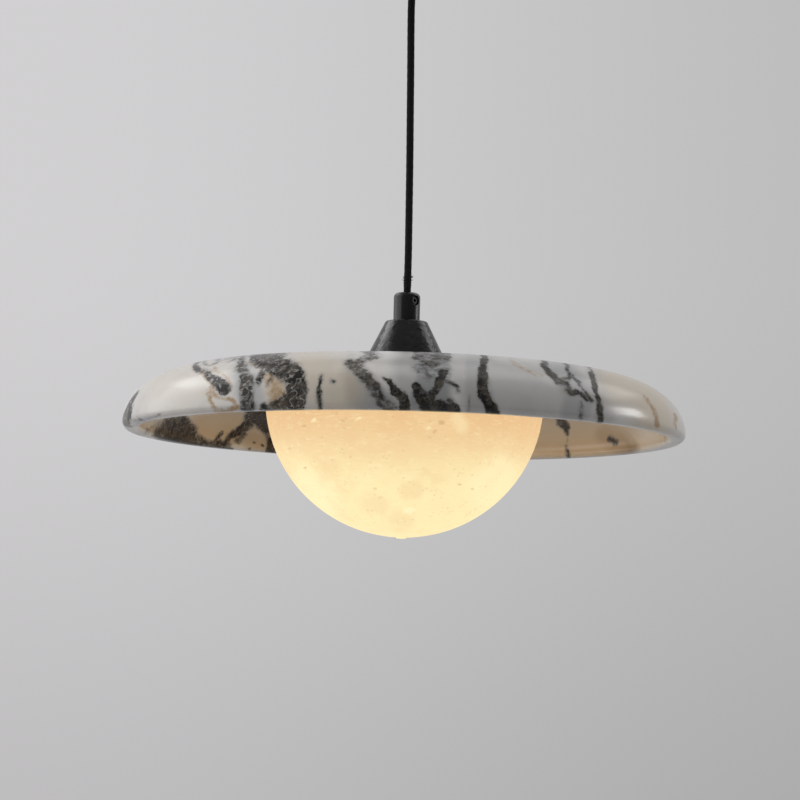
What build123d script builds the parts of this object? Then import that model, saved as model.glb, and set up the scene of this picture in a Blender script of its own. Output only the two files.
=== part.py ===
from build123d import *
import math
import os

os.makedirs("parts", exist_ok=True)

# Marble pendant light, hung from the ceiling. Millimetres, +Z up.
# The origin is the centre of the strap's top face, where it meets the ceiling.
# The front of the lamp faces -Y. Every height below is measured down from the ceiling.

# Shared fits
thread_clearance = 0.05
hole_clearance = 0.3
loose_gap = 0.3

# Ceiling rose: a round cup, hung on a strap by two side screws
rose_radius = 55.0
rose_height = 30.0
rose_wall = 1.5
rose_edge_radius = 4.0
strap_width = 18.0
strap_thickness = 1.5
strap_bend_radius = 2.5
leg_height = 12.0
slot_spacing = 60.0
slot_length = 16.0
slot_width = 5.0
entry_radius = 5.5
side_screw_radius = 2.0
side_screw_drop = 7.0
side_screw_grip = 6.0
side_screw_head_radius = 3.6
side_screw_head_height = 3.2
side_screw_slot_width = 0.9
side_screw_slot_depth = 1.2

# Earth screw and its ring terminal, under the strap
earth_x = 15.0
earth_screw_radius = 2.0
earth_head_radius = 3.4
earth_head_height = 2.4
earth_recess_radius = 1.4
earth_recess_depth = 1.2
earth_ring_radius = 4.2
earth_ring_thickness = 0.8
earth_barrel_radius = 1.4
earth_barrel_length = 5.0

# Textile cord, and the stretch of it that hangs free
cord_radius = 2.3
cord_hole_clearance = 0.2
hang_length = 196.0
swing_pivot_spacing = 12.0
foot_length = 12.0
rose_tail_height = 9.0
lamp_tail_length = 3.0

# Cord grip under the rose
rose_grip_radius = 6.5
rose_grip_height = 12.0
rose_grip_edge_radius = 1.5
rose_grip_neck_length = 7.0
rose_nut_width = 14.0
rose_nut_thickness = 3.0
rose_set_screw_radius = 1.5
rose_set_screw_socket_width = 1.5
rose_set_screw_socket_depth = 1.4

# LED driver and terminal block inside the rose
driver_length = 62.0
driver_width = 24.0
driver_height = 15.0
driver_edge_radius = 2.0
driver_offset = 13.0
driver_pad_thickness = 1.0
driver_pad_margin = 3.0
terminal_length = 27.0
terminal_width = 15.0
terminal_height = 12.0
terminal_offset = 17.0
terminal_pitch = 8.5
terminal_well_radius = 2.2
terminal_screw_radius = 1.7
terminal_screw_length = 4.0
terminal_well_depth = 6.0
terminal_edge_radius = 1.0

# Sheathed leads inside the rose and under the lamp's tray
lead_radius = 1.5
lead_bend_radius = 6.0
lead_loop = 10.0
earth_lead_radius = 0.9
earth_lead_bend_radius = 3.0

# Cord grip on top of the lamp
lamp_grip_radius = 8.3
lamp_grip_height = 18.0
lamp_grip_edge_radius = 3.0
grip_thread_depth = 8.0
lamp_screw_angle = -47.0
lamp_screw_drop = 5.2
lamp_screw_radius = 2.0
lamp_recess_radius = 3.1
lamp_recess_depth = 1.5
lamp_socket_width = 2.0
lamp_socket_depth = 1.6

# Threaded tube that holds the lamp together, with its nuts and washers
tube_radius = 5.0
tube_bore_radius = 3.5
tube_tail = 3.0
nut_width = 17.0
nut_thickness = 5.0
washer_radius = 14.0
washer_thickness = 1.2

# Cone cap on the marble
cone_top_radius = 13.0
cone_foot_radius = 29.4
cone_height = 32.8
cone_wall = 2.0
cone_edge_radius = 1.4
cone_pad_thickness = 0.8
cone_pad_width = 4.0

# Marble shade: a flat top, an elliptical shoulder and a rounded lip
shade_radius = 175.0
shade_height = 38.8
shade_flat_radius = 123.0
shade_wall = 11.0
lip_outer_radius = 4.0
lip_inner_radius = 3.0
shade_hole_radius = 5.8

# Plate, gaskets and tray under the marble
gasket_thickness = 1.5
gasket_radius = 16.0
plate_radius = 45.0
plate_thickness = 2.0
tray_dome_gap = 3.0
tray_thickness = 1.2
tray_flange = 8.0
tray_bend_radius = 2.0

# LED board
board_radius = 53.0
board_hole_radius = 17.0
board_thickness = 1.6
pad_thickness = 0.5
chip_size = 3.0
chip_height = 0.8
chip_ring_radii = (24.0, 34.0, 43.0)
chip_ring_counts = (8, 12, 16)
board_screw_count = 3
board_screw_circle = 48.5
board_screw_radius = 1.5
board_screw_head_radius = 2.8
board_screw_head_height = 1.8
board_screw_reach = 1.5
board_screw_recess_radius = 1.1
board_screw_recess_depth = 1.0
connector_length = 8.0
connector_width = 10.0
connector_height = 4.0
connector_start = 23.5
connector_edge_radius = 0.6

# Moon dome: a thin printed shell, held by three spring clips
dome_radius = 87.0
dome_wall = 2.0
dome_centre_height = 24.2
dome_rim_rise = 2.0
dome_foot_radius = 3.1
dome_foot_height = 0.6
clip_count = 3
clip_start_angle = 30.0
clip_width = 10.0
clip_thickness = 0.5
clip_seat_height = 4.0
clip_bow_height = 9.0
rivet_radius = 1.2
rivet_head_radius = 2.0
rivet_head_height = 0.5

# Heights, from the ceiling down
rose_floor = -rose_height
rose_floor_inside = rose_floor + rose_wall
rose_grip_face = rose_floor - rose_grip_height
lamp_grip_top = rose_grip_face - hang_length
cone_top = lamp_grip_top - lamp_grip_height
cone_foot = cone_top - cone_height
marble_top = cone_foot - cone_pad_thickness
marble_ceiling = marble_top - shade_wall
lip = marble_top - shade_height
plate_top = marble_ceiling - gasket_thickness
tray_top = plate_top - plate_thickness
tray_under = tray_top - tray_thickness
lower_nut_top = tray_under - washer_thickness
tube_foot = lower_nut_top - nut_thickness - tube_tail
tube_head = cone_top + grip_thread_depth
board_top = tray_under - pad_thickness
board_under = board_top - board_thickness
dome_centre = lip + dome_centre_height
dome_rim = dome_centre + dome_rim_rise

# Joint places on the cord
swing_side_pivot = rose_grip_face - loose_gap - cord_radius
swing_front_pivot = swing_side_pivot - swing_pivot_spacing
tilt_pivot = lamp_grip_top + loose_gap + cord_radius
twist_plane = tilt_pivot + foot_length

# Places worked out from the sizes above
rose_bore_radius = rose_radius - rose_wall
cord_hole_radius = cord_radius + cord_hole_clearance
leg_face = math.sqrt(rose_bore_radius**2 - (strap_width / 2) ** 2) - loose_gap
driver_middle = driver_offset + driver_width / 2
driver_base = rose_floor_inside + driver_pad_thickness
driver_mid_height = driver_base + driver_height / 2
terminal_middle = -terminal_offset - terminal_width / 2
terminal_top = rose_floor_inside + terminal_height
terminal_mid_height = rose_floor_inside + terminal_height / 2
rose_tail_top = rose_floor_inside + rose_tail_height
lamp_tail_foot = tube_foot - lamp_tail_length
dome_bore_radius = dome_radius - dome_wall
tray_radius = dome_bore_radius - tray_dome_gap


def ring(outer_radius, inner_radius, top, thickness):
    """A flat ring that reaches down from the height top."""
    with BuildPart() as flat_ring:
        with BuildSketch(Plane.XY.offset(top)):
            Circle(outer_radius)
            Circle(inner_radius, mode=Mode.SUBTRACT)
        extrude(amount=-thickness)
    return flat_ring


def hex_nut(width, bore_radius, top, thickness):
    """A hexagon nut with rounded-off corners, down from the height top."""
    with BuildPart() as nut:
        with BuildSketch(Plane.XY.offset(top)):
            RegularPolygon(width / 2, 6, major_radius=False)
            Circle(bore_radius, mode=Mode.SUBTRACT)
        extrude(amount=-thickness)
        with BuildSketch(Plane.XY.offset(top)):
            Circle(width / 2)
        extrude(amount=-thickness, taper=-30, mode=Mode.INTERSECT)
    return nut


def set_screw(plane, radius, length, socket_width, socket_depth):
    """A headless screw that runs in from the plane, with a hexagon socket in its outer end."""
    with BuildPart() as screw:
        with BuildSketch(plane):
            Circle(radius)
        extrude(amount=-length)
        with BuildSketch(plane):
            RegularPolygon(socket_width / 2, 6, major_radius=False)
        extrude(amount=-socket_depth, mode=Mode.SUBTRACT)
    return screw


def cord_run(top, bottom, ball_top=False, ball_bottom=False):
    """A straight stretch of cord. A ball end is centred on the pivot that it turns about."""
    with BuildPart() as run:
        with BuildSketch(Plane.XY.offset(bottom)):
            Circle(cord_radius)
        extrude(amount=top - bottom)
        if ball_top:
            with Locations((0, 0, top)):
                Sphere(cord_radius)
        if ball_bottom:
            with Locations((0, 0, bottom)):
                Sphere(cord_radius)
    return run


def lead(points, radii, radius, name):
    """A round lead along straight runs joined by tangent arcs."""
    with BuildPart() as cable:
        with BuildLine() as route:
            FilletPolyline(*points, radius=radii)
        path = route.wire()
        with BuildSketch(Plane(path @ 0, z_dir=path % 0)):
            Circle(radius)
        sweep(path=path)
    share = cable.part.volume / (math.pi * radius**2 * path.length)
    print(name, "bends", radii, "length", round(path.length, 1), "volume ratio", round(share, 4))
    return cable


# Strap on the ceiling: two slots for ceiling screws, a cable hole and two legs
with BuildPart() as ceiling_bracket:
    with BuildSketch(Plane.XZ):
        with Locations((0, -leg_height / 2)):
            outside = Rectangle(2 * leg_face, leg_height)
        fillet(outside.vertices().group_by(Axis.Y)[-1], strap_bend_radius)
        with Locations((0, -strap_thickness - leg_height / 2)):
            Rectangle(2 * (leg_face - strap_thickness), leg_height, mode=Mode.SUBTRACT)
    extrude(amount=strap_width / 2, both=True)
    with BuildSketch(Plane.XY):
        with GridLocations(slot_spacing, 0, 2, 1):
            SlotOverall(slot_length, slot_width)
        Circle(entry_radius)
        with Locations((earth_x, 0)):
            Circle(earth_screw_radius + thread_clearance)
    extrude(amount=-strap_thickness, mode=Mode.SUBTRACT)
    with BuildSketch(Plane.YZ):
        with Locations((0, -side_screw_drop)):
            Circle(side_screw_radius + thread_clearance)
    extrude(amount=leg_face, both=True, mode=Mode.SUBTRACT)
ceiling_bracket.part.label = "ceiling_bracket"
export_step(ceiling_bracket.part, "parts/ceiling_bracket.step")

# Cup of the ceiling rose, open at the ceiling
with BuildPart() as rose_cup:
    with BuildSketch(Plane.XY):
        Circle(rose_radius)
    extrude(amount=-rose_height)
    fillet(rose_cup.edges().group_by(Axis.Z)[0], rose_edge_radius)
    offset(amount=-rose_wall, openings=rose_cup.faces().sort_by(Axis.Z)[-1])
    with BuildSketch(Plane.XY.offset(rose_floor)):
        Circle(tube_radius + hole_clearance)
    extrude(amount=rose_wall, mode=Mode.SUBTRACT)
    with BuildSketch(Plane.YZ):
        with Locations((0, -side_screw_drop)):
            Circle(side_screw_radius + hole_clearance)
    extrude(amount=rose_radius, both=True, mode=Mode.SUBTRACT)
rose_cup.part.label = "rose_cup"
export_step(rose_cup.part, "parts/rose_cup.step")

# Two slotted side screws, through the cup and into the strap's legs
with BuildPart() as rose_screws:
    with BuildSketch(Plane.YZ.offset(rose_radius)):
        with Locations((0, -side_screw_drop)):
            Circle(side_screw_head_radius)
    extrude(amount=side_screw_head_height)
    fillet(rose_screws.edges().group_by(Axis.X)[-1], side_screw_head_height / 3)
    with BuildSketch(Plane.YZ.offset(rose_radius + side_screw_head_height)):
        with Locations((0, -side_screw_drop)):
            Rectangle(2 * side_screw_head_radius, side_screw_slot_width)
    extrude(amount=-side_screw_slot_depth, mode=Mode.SUBTRACT)
    with BuildSketch(Plane.YZ.offset(rose_radius)):
        with Locations((0, -side_screw_drop)):
            Circle(side_screw_radius)
    extrude(amount=-side_screw_grip)
    mirror(about=Plane.YZ)
rose_screws.part.label = "rose_screws"
export_step(rose_screws.part, "parts/rose_screws.step")

# Ring terminal under the strap, with its crimp barrel
earth_ring_top = -strap_thickness
with BuildPart() as earth_ring:
    with BuildSketch(Plane.XY.offset(earth_ring_top)):
        with Locations((earth_x, 0)):
            Circle(earth_ring_radius)
            Circle(earth_screw_radius + hole_clearance, mode=Mode.SUBTRACT)
    extrude(amount=-earth_ring_thickness)
    with BuildSketch(Plane.XZ.offset(earth_ring_radius - earth_ring_thickness)):
        with Locations((earth_x, earth_ring_top - earth_barrel_radius)):
            Circle(earth_barrel_radius)
    extrude(amount=earth_barrel_length)
earth_ring.part.label = "earth_ring"
export_step(earth_ring.part, "parts/earth_ring.step")

# Earth screw, driven up into the strap
earth_head_top = earth_ring_top - earth_ring_thickness
with BuildPart() as earth_screw:
    with BuildSketch(Plane.XY.offset(earth_head_top)):
        with Locations((earth_x, 0)):
            Circle(earth_head_radius)
    extrude(amount=-earth_head_height)
    with BuildSketch(Plane.XY.offset(earth_head_top - earth_head_height)):
        with Locations((earth_x, 0)):
            RegularPolygon(earth_recess_radius, 4)
    extrude(amount=earth_recess_depth, mode=Mode.SUBTRACT)
    with BuildSketch(Plane.XY.offset(earth_head_top)):
        with Locations((earth_x, 0)):
            Circle(earth_screw_radius)
    extrude(amount=earth_ring_thickness + strap_thickness)
earth_screw.part.label = "earth_screw"
export_step(earth_screw.part, "parts/earth_screw.step")

# Cord grip of the rose: a barrel under the cup, a threaded neck through it and a bore for the cord
rose_screw_height = rose_grip_face + rose_grip_height / 2
with BuildPart() as rose_grip:
    with BuildSketch(Plane.XY.offset(rose_floor)):
        Circle(rose_grip_radius)
    extrude(amount=-rose_grip_height)
    fillet(rose_grip.edges().group_by(Axis.Z)[0], rose_grip_edge_radius)
    with BuildSketch(Plane.XY.offset(rose_floor)):
        Circle(tube_radius)
    extrude(amount=rose_grip_neck_length)
    with BuildSketch(Plane.XY.offset(rose_grip_face)):
        Circle(cord_hole_radius)
    extrude(amount=rose_grip_height + rose_grip_neck_length, mode=Mode.SUBTRACT)
    with BuildSketch(Plane.XZ):
        with Locations((0, rose_screw_height)):
            Circle(rose_set_screw_radius + thread_clearance)
    extrude(amount=rose_grip_radius, mode=Mode.SUBTRACT)
rose_grip.part.label = "rose_grip"
export_step(rose_grip.part, "parts/rose_grip.step")

# Set screw that pinches the cord in the rose's grip
rose_grip_screw = set_screw(
    Plane((0, -rose_grip_radius + loose_gap, rose_screw_height), z_dir=(0, -1, 0)),
    rose_set_screw_radius,
    rose_grip_radius - cord_radius - 2 * loose_gap,
    rose_set_screw_socket_width,
    rose_set_screw_socket_depth,
)
rose_grip_screw.part.label = "rose_grip_screw"
export_step(rose_grip_screw.part, "parts/rose_grip_screw.step")

# Nut that clamps the grip to the cup's floor
rose_nut_top = rose_floor_inside + rose_nut_thickness
rose_grip_nut = hex_nut(rose_nut_width, tube_radius + thread_clearance, rose_nut_top, rose_nut_thickness)
rose_grip_nut.part.label = "rose_grip_nut"
export_step(rose_grip_nut.part, "parts/rose_grip_nut.step")

# End of the cord inside the rose
cord_rose_end = cord_run(rose_tail_top, rose_grip_face)
cord_rose_end.part.label = "cord_rose_end"
export_step(cord_rose_end.part, "parts/cord_rose_end.step")

# Sticky pad and LED driver on the cup's floor
with BuildPart() as driver_pad:
    with BuildSketch(Plane.XY.offset(rose_floor_inside)):
        with Locations((0, driver_middle)):
            Rectangle(driver_length - 2 * driver_pad_margin, driver_width - 2 * driver_pad_margin)
    extrude(amount=driver_pad_thickness)
driver_pad.part.label = "driver_pad"
export_step(driver_pad.part, "parts/driver_pad.step")

with BuildPart() as led_driver:
    with BuildSketch(Plane.XY.offset(driver_base)):
        with Locations((0, driver_middle)):
            RectangleRounded(driver_length, driver_width, driver_edge_radius)
    extrude(amount=driver_height)
    fillet(led_driver.edges().group_by(Axis.Z)[-1], driver_edge_radius / 2)
led_driver.part.label = "led_driver"
export_step(led_driver.part, "parts/led_driver.step")

# Terminal block with three screw wells
with BuildPart() as terminal_block:
    with BuildSketch(Plane.XY.offset(rose_floor_inside)):
        with Locations((0, terminal_middle)):
            RectangleRounded(terminal_length, terminal_width, terminal_edge_radius)
    extrude(amount=terminal_height)
    with BuildSketch(Plane.XY.offset(terminal_top)):
        with Locations((0, terminal_middle)):
            with GridLocations(terminal_pitch, 0, 3, 1):
                Circle(terminal_well_radius)
    extrude(amount=-terminal_well_depth, mode=Mode.SUBTRACT)
terminal_block.part.label = "terminal_block"
export_step(terminal_block.part, "parts/terminal_block.step")

with BuildPart() as terminal_screws:
    with BuildSketch(Plane.XY.offset(terminal_top - terminal_well_depth)):
        with Locations((0, terminal_middle)):
            with GridLocations(terminal_pitch, 0, 3, 1):
                Circle(terminal_screw_radius)
    extrude(amount=terminal_screw_length)
    with BuildSketch(Plane.XY.offset(terminal_top - terminal_well_depth + terminal_screw_length)):
        with Locations((0, terminal_middle)):
            with GridLocations(terminal_pitch, 0, 3, 1):
                Rectangle(2 * terminal_screw_radius, side_screw_slot_width)
    extrude(amount=-side_screw_slot_depth, mode=Mode.SUBTRACT)
terminal_screws.part.label = "terminal_screws"
export_step(terminal_screws.part, "parts/terminal_screws.step")

# Leads in the rose: cord to driver, driver to terminal block, and earth
driver_end = driver_length / 2
lead_roof = driver_base + driver_height + 2 * lead_radius
output_lead = lead(
    [
        (0, 0, rose_tail_top),
        (0, 0, lead_roof),
        (-driver_end - lead_loop, driver_offset, lead_roof),
        (-driver_end - lead_loop, driver_middle, driver_mid_height),
        (-driver_end, driver_middle, driver_mid_height),
    ],
    [lead_bend_radius, lead_bend_radius, lead_bend_radius],
    lead_radius,
    "output_lead",
)
output_lead.part.label = "output_lead"
export_step(output_lead.part, "parts/output_lead.step")

input_lead = lead(
    [
        (driver_end, driver_middle, driver_mid_height),
        (driver_end + lead_loop, driver_middle, driver_mid_height),
        (driver_end + lead_loop, terminal_middle, terminal_mid_height),
        (terminal_length / 2, terminal_middle, terminal_mid_height),
    ],
    [lead_bend_radius, lead_bend_radius],
    lead_radius,
    "input_lead",
)
input_lead.part.label = "input_lead"
export_step(input_lead.part, "parts/input_lead.step")

earth_barrel_end = -earth_ring_radius + earth_ring_thickness - earth_barrel_length
earth_lead_height = earth_ring_top - earth_barrel_radius
earth_lead_fall = (earth_barrel_end - terminal_offset) / 2
earth_lead = lead(
    [
        (earth_x, earth_barrel_end, earth_lead_height),
        (earth_x, earth_lead_fall, earth_lead_height),
        (terminal_pitch, earth_lead_fall, terminal_mid_height),
        (terminal_pitch, -terminal_offset, terminal_mid_height),
    ],
    [earth_lead_bend_radius, earth_lead_bend_radius],
    earth_lead_radius,
    "earth_lead",
)
earth_lead.part.label = "earth_lead"
export_step(earth_lead.part, "parts/earth_lead.step")

# Hanging cord, in three stretches: below the ceiling grip, the long one and the one above the lamp
cord_top = cord_run(
    swing_side_pivot, swing_front_pivot + cord_radius + loose_gap, ball_top=True
)
cord_top.part.label = "cord_top"
export_step(cord_top.part, "parts/cord_top.step")

cord_main = cord_run(swing_front_pivot, twist_plane, ball_top=True)
cord_main.part.label = "cord_main"
export_step(cord_main.part, "parts/cord_main.step")

cord_foot = cord_run(twist_plane - loose_gap, tilt_pivot, ball_bottom=True)
cord_foot.part.label = "cord_foot"
export_step(cord_foot.part, "parts/cord_foot.step")

# Cord grip on the lamp: rounded top edge, and a set screw sunk in a round recess at the front right
screw_direction = Vector(
    math.cos(math.radians(lamp_screw_angle)), math.sin(math.radians(lamp_screw_angle)), 0
)
lamp_screw_height = lamp_grip_top - lamp_screw_drop
grip_side = Plane(
    screw_direction * lamp_grip_radius + Vector(0, 0, lamp_screw_height), z_dir=screw_direction
)
with BuildPart() as lamp_grip:
    with BuildSketch(Plane.XY.offset(lamp_grip_top)):
        Circle(lamp_grip_radius)
    extrude(amount=-lamp_grip_height)
    fillet(lamp_grip.edges().group_by(Axis.Z)[-1], lamp_grip_edge_radius)
    with BuildSketch(Plane.XY.offset(lamp_grip_top)):
        Circle(cord_hole_radius)
    extrude(amount=-lamp_grip_height, mode=Mode.SUBTRACT)
    with BuildSketch(Plane.XY.offset(cone_top)):
        Circle(tube_radius + thread_clearance)
    extrude(amount=grip_thread_depth, mode=Mode.SUBTRACT)
    with BuildSketch(grip_side):
        Circle(lamp_screw_radius + thread_clearance)
    extrude(amount=-lamp_grip_radius, mode=Mode.SUBTRACT)
    with BuildSketch(grip_side):
        Circle(lamp_recess_radius)
    extrude(amount=-lamp_recess_depth, mode=Mode.SUBTRACT)
lamp_grip.part.label = "lamp_grip"
export_step(lamp_grip.part, "parts/lamp_grip.step")

lamp_grip_screw = set_screw(
    grip_side.offset(-lamp_recess_depth + loose_gap),
    lamp_screw_radius,
    lamp_grip_radius - lamp_recess_depth - cord_radius,
    lamp_socket_width,
    lamp_socket_depth,
)
lamp_grip_screw.part.label = "lamp_grip_screw"
export_step(lamp_grip_screw.part, "parts/lamp_grip_screw.step")

# End of the cord inside the lamp, down through the threaded tube
cord_lamp_end = cord_run(lamp_grip_top, lamp_tail_foot)
cord_lamp_end.part.label = "cord_lamp_end"
export_step(cord_lamp_end.part, "parts/cord_lamp_end.step")

threaded_tube = ring(tube_radius, tube_bore_radius, tube_head, tube_head - tube_foot)
threaded_tube.part.label = "threaded_tube"
export_step(threaded_tube.part, "parts/threaded_tube.step")

# Cone cap: a thin cone, open at its foot
with BuildPart() as cone_cap:
    with Locations((0, 0, cone_foot)):
        Cone(
            cone_foot_radius, cone_top_radius, cone_height, align=(Align.CENTER, Align.CENTER, Align.MIN)
        )
    fillet(cone_cap.edges().group_by(Axis.Z)[-1], cone_edge_radius)
    offset(amount=-cone_wall, openings=cone_cap.faces().sort_by(Axis.Z)[0])
    with BuildSketch(Plane.XY.offset(cone_top)):
        Circle(tube_radius + hole_clearance)
    extrude(amount=-2 * cone_wall, mode=Mode.SUBTRACT)
cone_cap.part.label = "cone_cap"
export_step(cone_cap.part, "parts/cone_cap.step")

cone_pad = ring(cone_foot_radius, cone_foot_radius - cone_pad_width, cone_foot, cone_pad_thickness)
cone_pad.part.label = "cone_pad"
export_step(cone_pad.part, "parts/cone_pad.step")

# Gasket, washer and nut on the marble, under the cone
upper_gasket_top = marble_top + gasket_thickness
upper_washer_top = upper_gasket_top + washer_thickness
upper_gasket = ring(gasket_radius, tube_radius + hole_clearance, upper_gasket_top, gasket_thickness)
upper_gasket.part.label = "upper_gasket"
export_step(upper_gasket.part, "parts/upper_gasket.step")

upper_washer = ring(washer_radius, tube_radius + hole_clearance, upper_washer_top, washer_thickness)
upper_washer.part.label = "upper_washer"
export_step(upper_washer.part, "parts/upper_washer.step")

upper_nut_top = upper_washer_top + nut_thickness
upper_nut = hex_nut(nut_width, tube_radius + thread_clearance, upper_nut_top, nut_thickness)
upper_nut.part.label = "upper_nut"
export_step(upper_nut.part, "parts/upper_nut.step")

# Marble shade, turned about the lamp's axis
shoulder_centre = (shade_flat_radius, lip + lip_outer_radius)
shoulder_width = shade_radius - shade_flat_radius
shoulder_height = shade_height - lip_outer_radius
shade_bore = shade_radius - shade_wall
lip_outer_start = shade_radius - lip_outer_radius
lip_inner_start = shade_bore + lip_inner_radius
with BuildPart() as marble_shade:
    with BuildSketch(Plane.XZ):
        with BuildLine():
            Line((shade_hole_radius, marble_top), (shade_flat_radius, marble_top))
            EllipticalCenterArc(shoulder_centre, shoulder_width, shoulder_height, arc_size=90)
            CenterArc((lip_outer_start, lip + lip_outer_radius), lip_outer_radius, 270, 90)
            Line((lip_outer_start, lip), (lip_inner_start, lip))
            CenterArc((lip_inner_start, lip + lip_inner_radius), lip_inner_radius, 180, 90)
            Line((shade_bore, lip + lip_inner_radius), (shade_bore, lip + lip_outer_radius))
            EllipticalCenterArc(
                shoulder_centre, shoulder_width - shade_wall, shoulder_height - shade_wall, arc_size=90
            )
            Line((shade_flat_radius, marble_ceiling), (shade_hole_radius, marble_ceiling))
            Line((shade_hole_radius, marble_ceiling), (shade_hole_radius, marble_top))
        make_face()
    revolve(axis=Axis.Z)
marble_shade.part.label = "marble_shade"
export_step(marble_shade.part, "parts/marble_shade.step")

# Gasket and plate that carry the marble
lower_gasket = ring(plate_radius, tube_radius + hole_clearance, marble_ceiling, gasket_thickness)
lower_gasket.part.label = "lower_gasket"
export_step(lower_gasket.part, "parts/lower_gasket.step")

support_plate = ring(plate_radius, tube_radius + hole_clearance, plate_top, plate_thickness)
support_plate.part.label = "support_plate"
export_step(support_plate.part, "parts/support_plate.step")

# Tray: a shallow pan that cools the LED board and carries the dome's clips
clip_seat_middle = tray_top - tray_bend_radius - clip_seat_height / 2
with BuildPart() as lamp_tray:
    with BuildSketch(Plane.XY.offset(tray_top)):
        Circle(tray_radius)
    extrude(amount=-tray_flange)
    fillet(lamp_tray.edges().group_by(Axis.Z)[-1], tray_bend_radius)
    offset(amount=-tray_thickness, openings=lamp_tray.faces().sort_by(Axis.Z)[0])
    with BuildSketch(Plane.XY.offset(tray_top)):
        Circle(tube_radius + hole_clearance)
        with PolarLocations(board_screw_circle, board_screw_count):
            Circle(board_screw_radius + thread_clearance)
    extrude(amount=-tray_thickness, mode=Mode.SUBTRACT)
    with Locations((0, 0, clip_seat_middle)):
        with PolarLocations(tray_radius, clip_count, start_angle=clip_start_angle):
            Cylinder(
                rivet_radius + thread_clearance, 4 * tray_thickness, rotation=(0, 90, 0), mode=Mode.SUBTRACT
            )
lamp_tray.part.label = "lamp_tray"
export_step(lamp_tray.part, "parts/lamp_tray.step")

lower_washer = ring(washer_radius, tube_radius + hole_clearance, tray_under, washer_thickness)
lower_washer.part.label = "lower_washer"
export_step(lower_washer.part, "parts/lower_washer.step")

lower_nut = hex_nut(nut_width, tube_radius + thread_clearance, lower_nut_top, nut_thickness)
lower_nut.part.label = "lower_nut"
export_step(lower_nut.part, "parts/lower_nut.step")

# Thermal pad, LED board and its chips, facing down into the dome
with BuildPart() as thermal_pad:
    with BuildSketch(Plane.XY.offset(tray_under)):
        Circle(board_radius)
        Circle(board_hole_radius, mode=Mode.SUBTRACT)
        with PolarLocations(board_screw_circle, board_screw_count):
            Circle(board_screw_radius + hole_clearance, mode=Mode.SUBTRACT)
    extrude(amount=-pad_thickness)
thermal_pad.part.label = "thermal_pad"
export_step(thermal_pad.part, "parts/thermal_pad.step")

with BuildPart() as led_board:
    with BuildSketch(Plane.XY.offset(board_top)):
        Circle(board_radius)
        Circle(board_hole_radius, mode=Mode.SUBTRACT)
        with PolarLocations(board_screw_circle, board_screw_count):
            Circle(board_screw_radius + hole_clearance, mode=Mode.SUBTRACT)
    extrude(amount=-board_thickness)
led_board.part.label = "led_board"
export_step(led_board.part, "parts/led_board.step")

with BuildPart() as led_chips:
    with BuildSketch(Plane.XY.offset(board_under)):
        for ring_radius, chip_count in zip(chip_ring_radii, chip_ring_counts):
            with PolarLocations(ring_radius, chip_count, start_angle=90 + 180 / chip_count):
                Rectangle(chip_size, chip_size)
    extrude(amount=-chip_height)
led_chips.part.label = "led_chips"
export_step(led_chips.part, "parts/led_chips.step")

with BuildPart() as board_screws:
    with BuildSketch(Plane.XY.offset(board_under)):
        with PolarLocations(board_screw_circle, board_screw_count):
            Circle(board_screw_head_radius)
    extrude(amount=-board_screw_head_height)
    with BuildSketch(Plane.XY.offset(board_under - board_screw_head_height)):
        with PolarLocations(board_screw_circle, board_screw_count):
            RegularPolygon(board_screw_recess_radius, 4)
    extrude(amount=board_screw_recess_depth, mode=Mode.SUBTRACT)
    with BuildSketch(Plane.XY.offset(board_under)):
        with PolarLocations(board_screw_circle, board_screw_count):
            Circle(board_screw_radius)
    extrude(amount=tray_top + board_screw_reach - board_under)
board_screws.part.label = "board_screws"
export_step(board_screws.part, "parts/board_screws.step")

# Connector on the board, and the lead that plugs into it from below
connector_middle = connector_start + connector_length / 2
with BuildPart() as board_connector:
    with BuildSketch(Plane.XY.offset(board_under)):
        with Locations((0, connector_middle)):
            RectangleRounded(connector_width, connector_length, connector_edge_radius)
    extrude(amount=-connector_height)
board_connector.part.label = "board_connector"
export_step(board_connector.part, "parts/board_connector.step")

board_lead = lead(
    [
        (0, 0, lamp_tail_foot),
        (0, 0, lamp_tail_foot - lead_loop),
        (0, connector_middle, lamp_tail_foot - lead_loop),
        (0, connector_middle, board_under - connector_height),
    ],
    [lead_bend_radius, lead_bend_radius],
    lead_radius,
    "board_lead",
)
board_lead.part.label = "board_lead"
export_step(board_lead.part, "parts/board_lead.step")

# Moon dome: the lower half of a hollow ball, with a small flat foot from printing
rim_outer_radius = math.sqrt(dome_radius**2 - dome_rim_rise**2)
rim_bore_radius = math.sqrt(dome_bore_radius**2 - dome_rim_rise**2)
rim_outer_angle = math.degrees(math.asin(dome_rim_rise / dome_radius))
rim_bore_angle = math.degrees(math.asin(dome_rim_rise / dome_bore_radius))
with BuildPart() as moon_dome:
    with BuildSketch(Plane.XZ):
        with BuildLine():
            CenterArc((0, dome_centre), dome_radius, 270, 90 + rim_outer_angle)
            Line((rim_outer_radius, dome_rim), (rim_bore_radius, dome_rim))
            CenterArc((0, dome_centre), dome_bore_radius, 270, 90 + rim_bore_angle)
            Line((0, dome_centre - dome_bore_radius), (0, dome_centre - dome_radius))
        make_face()
    revolve(axis=Axis.Z)
    with BuildSketch(Plane.XY.offset(dome_centre - dome_radius - dome_foot_height)):
        Circle(dome_foot_radius)
    extrude(amount=dome_foot_height + dome_wall / 2)
moon_dome.part.label = "moon_dome"
export_step(moon_dome.part, "parts/moon_dome.step")

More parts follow.
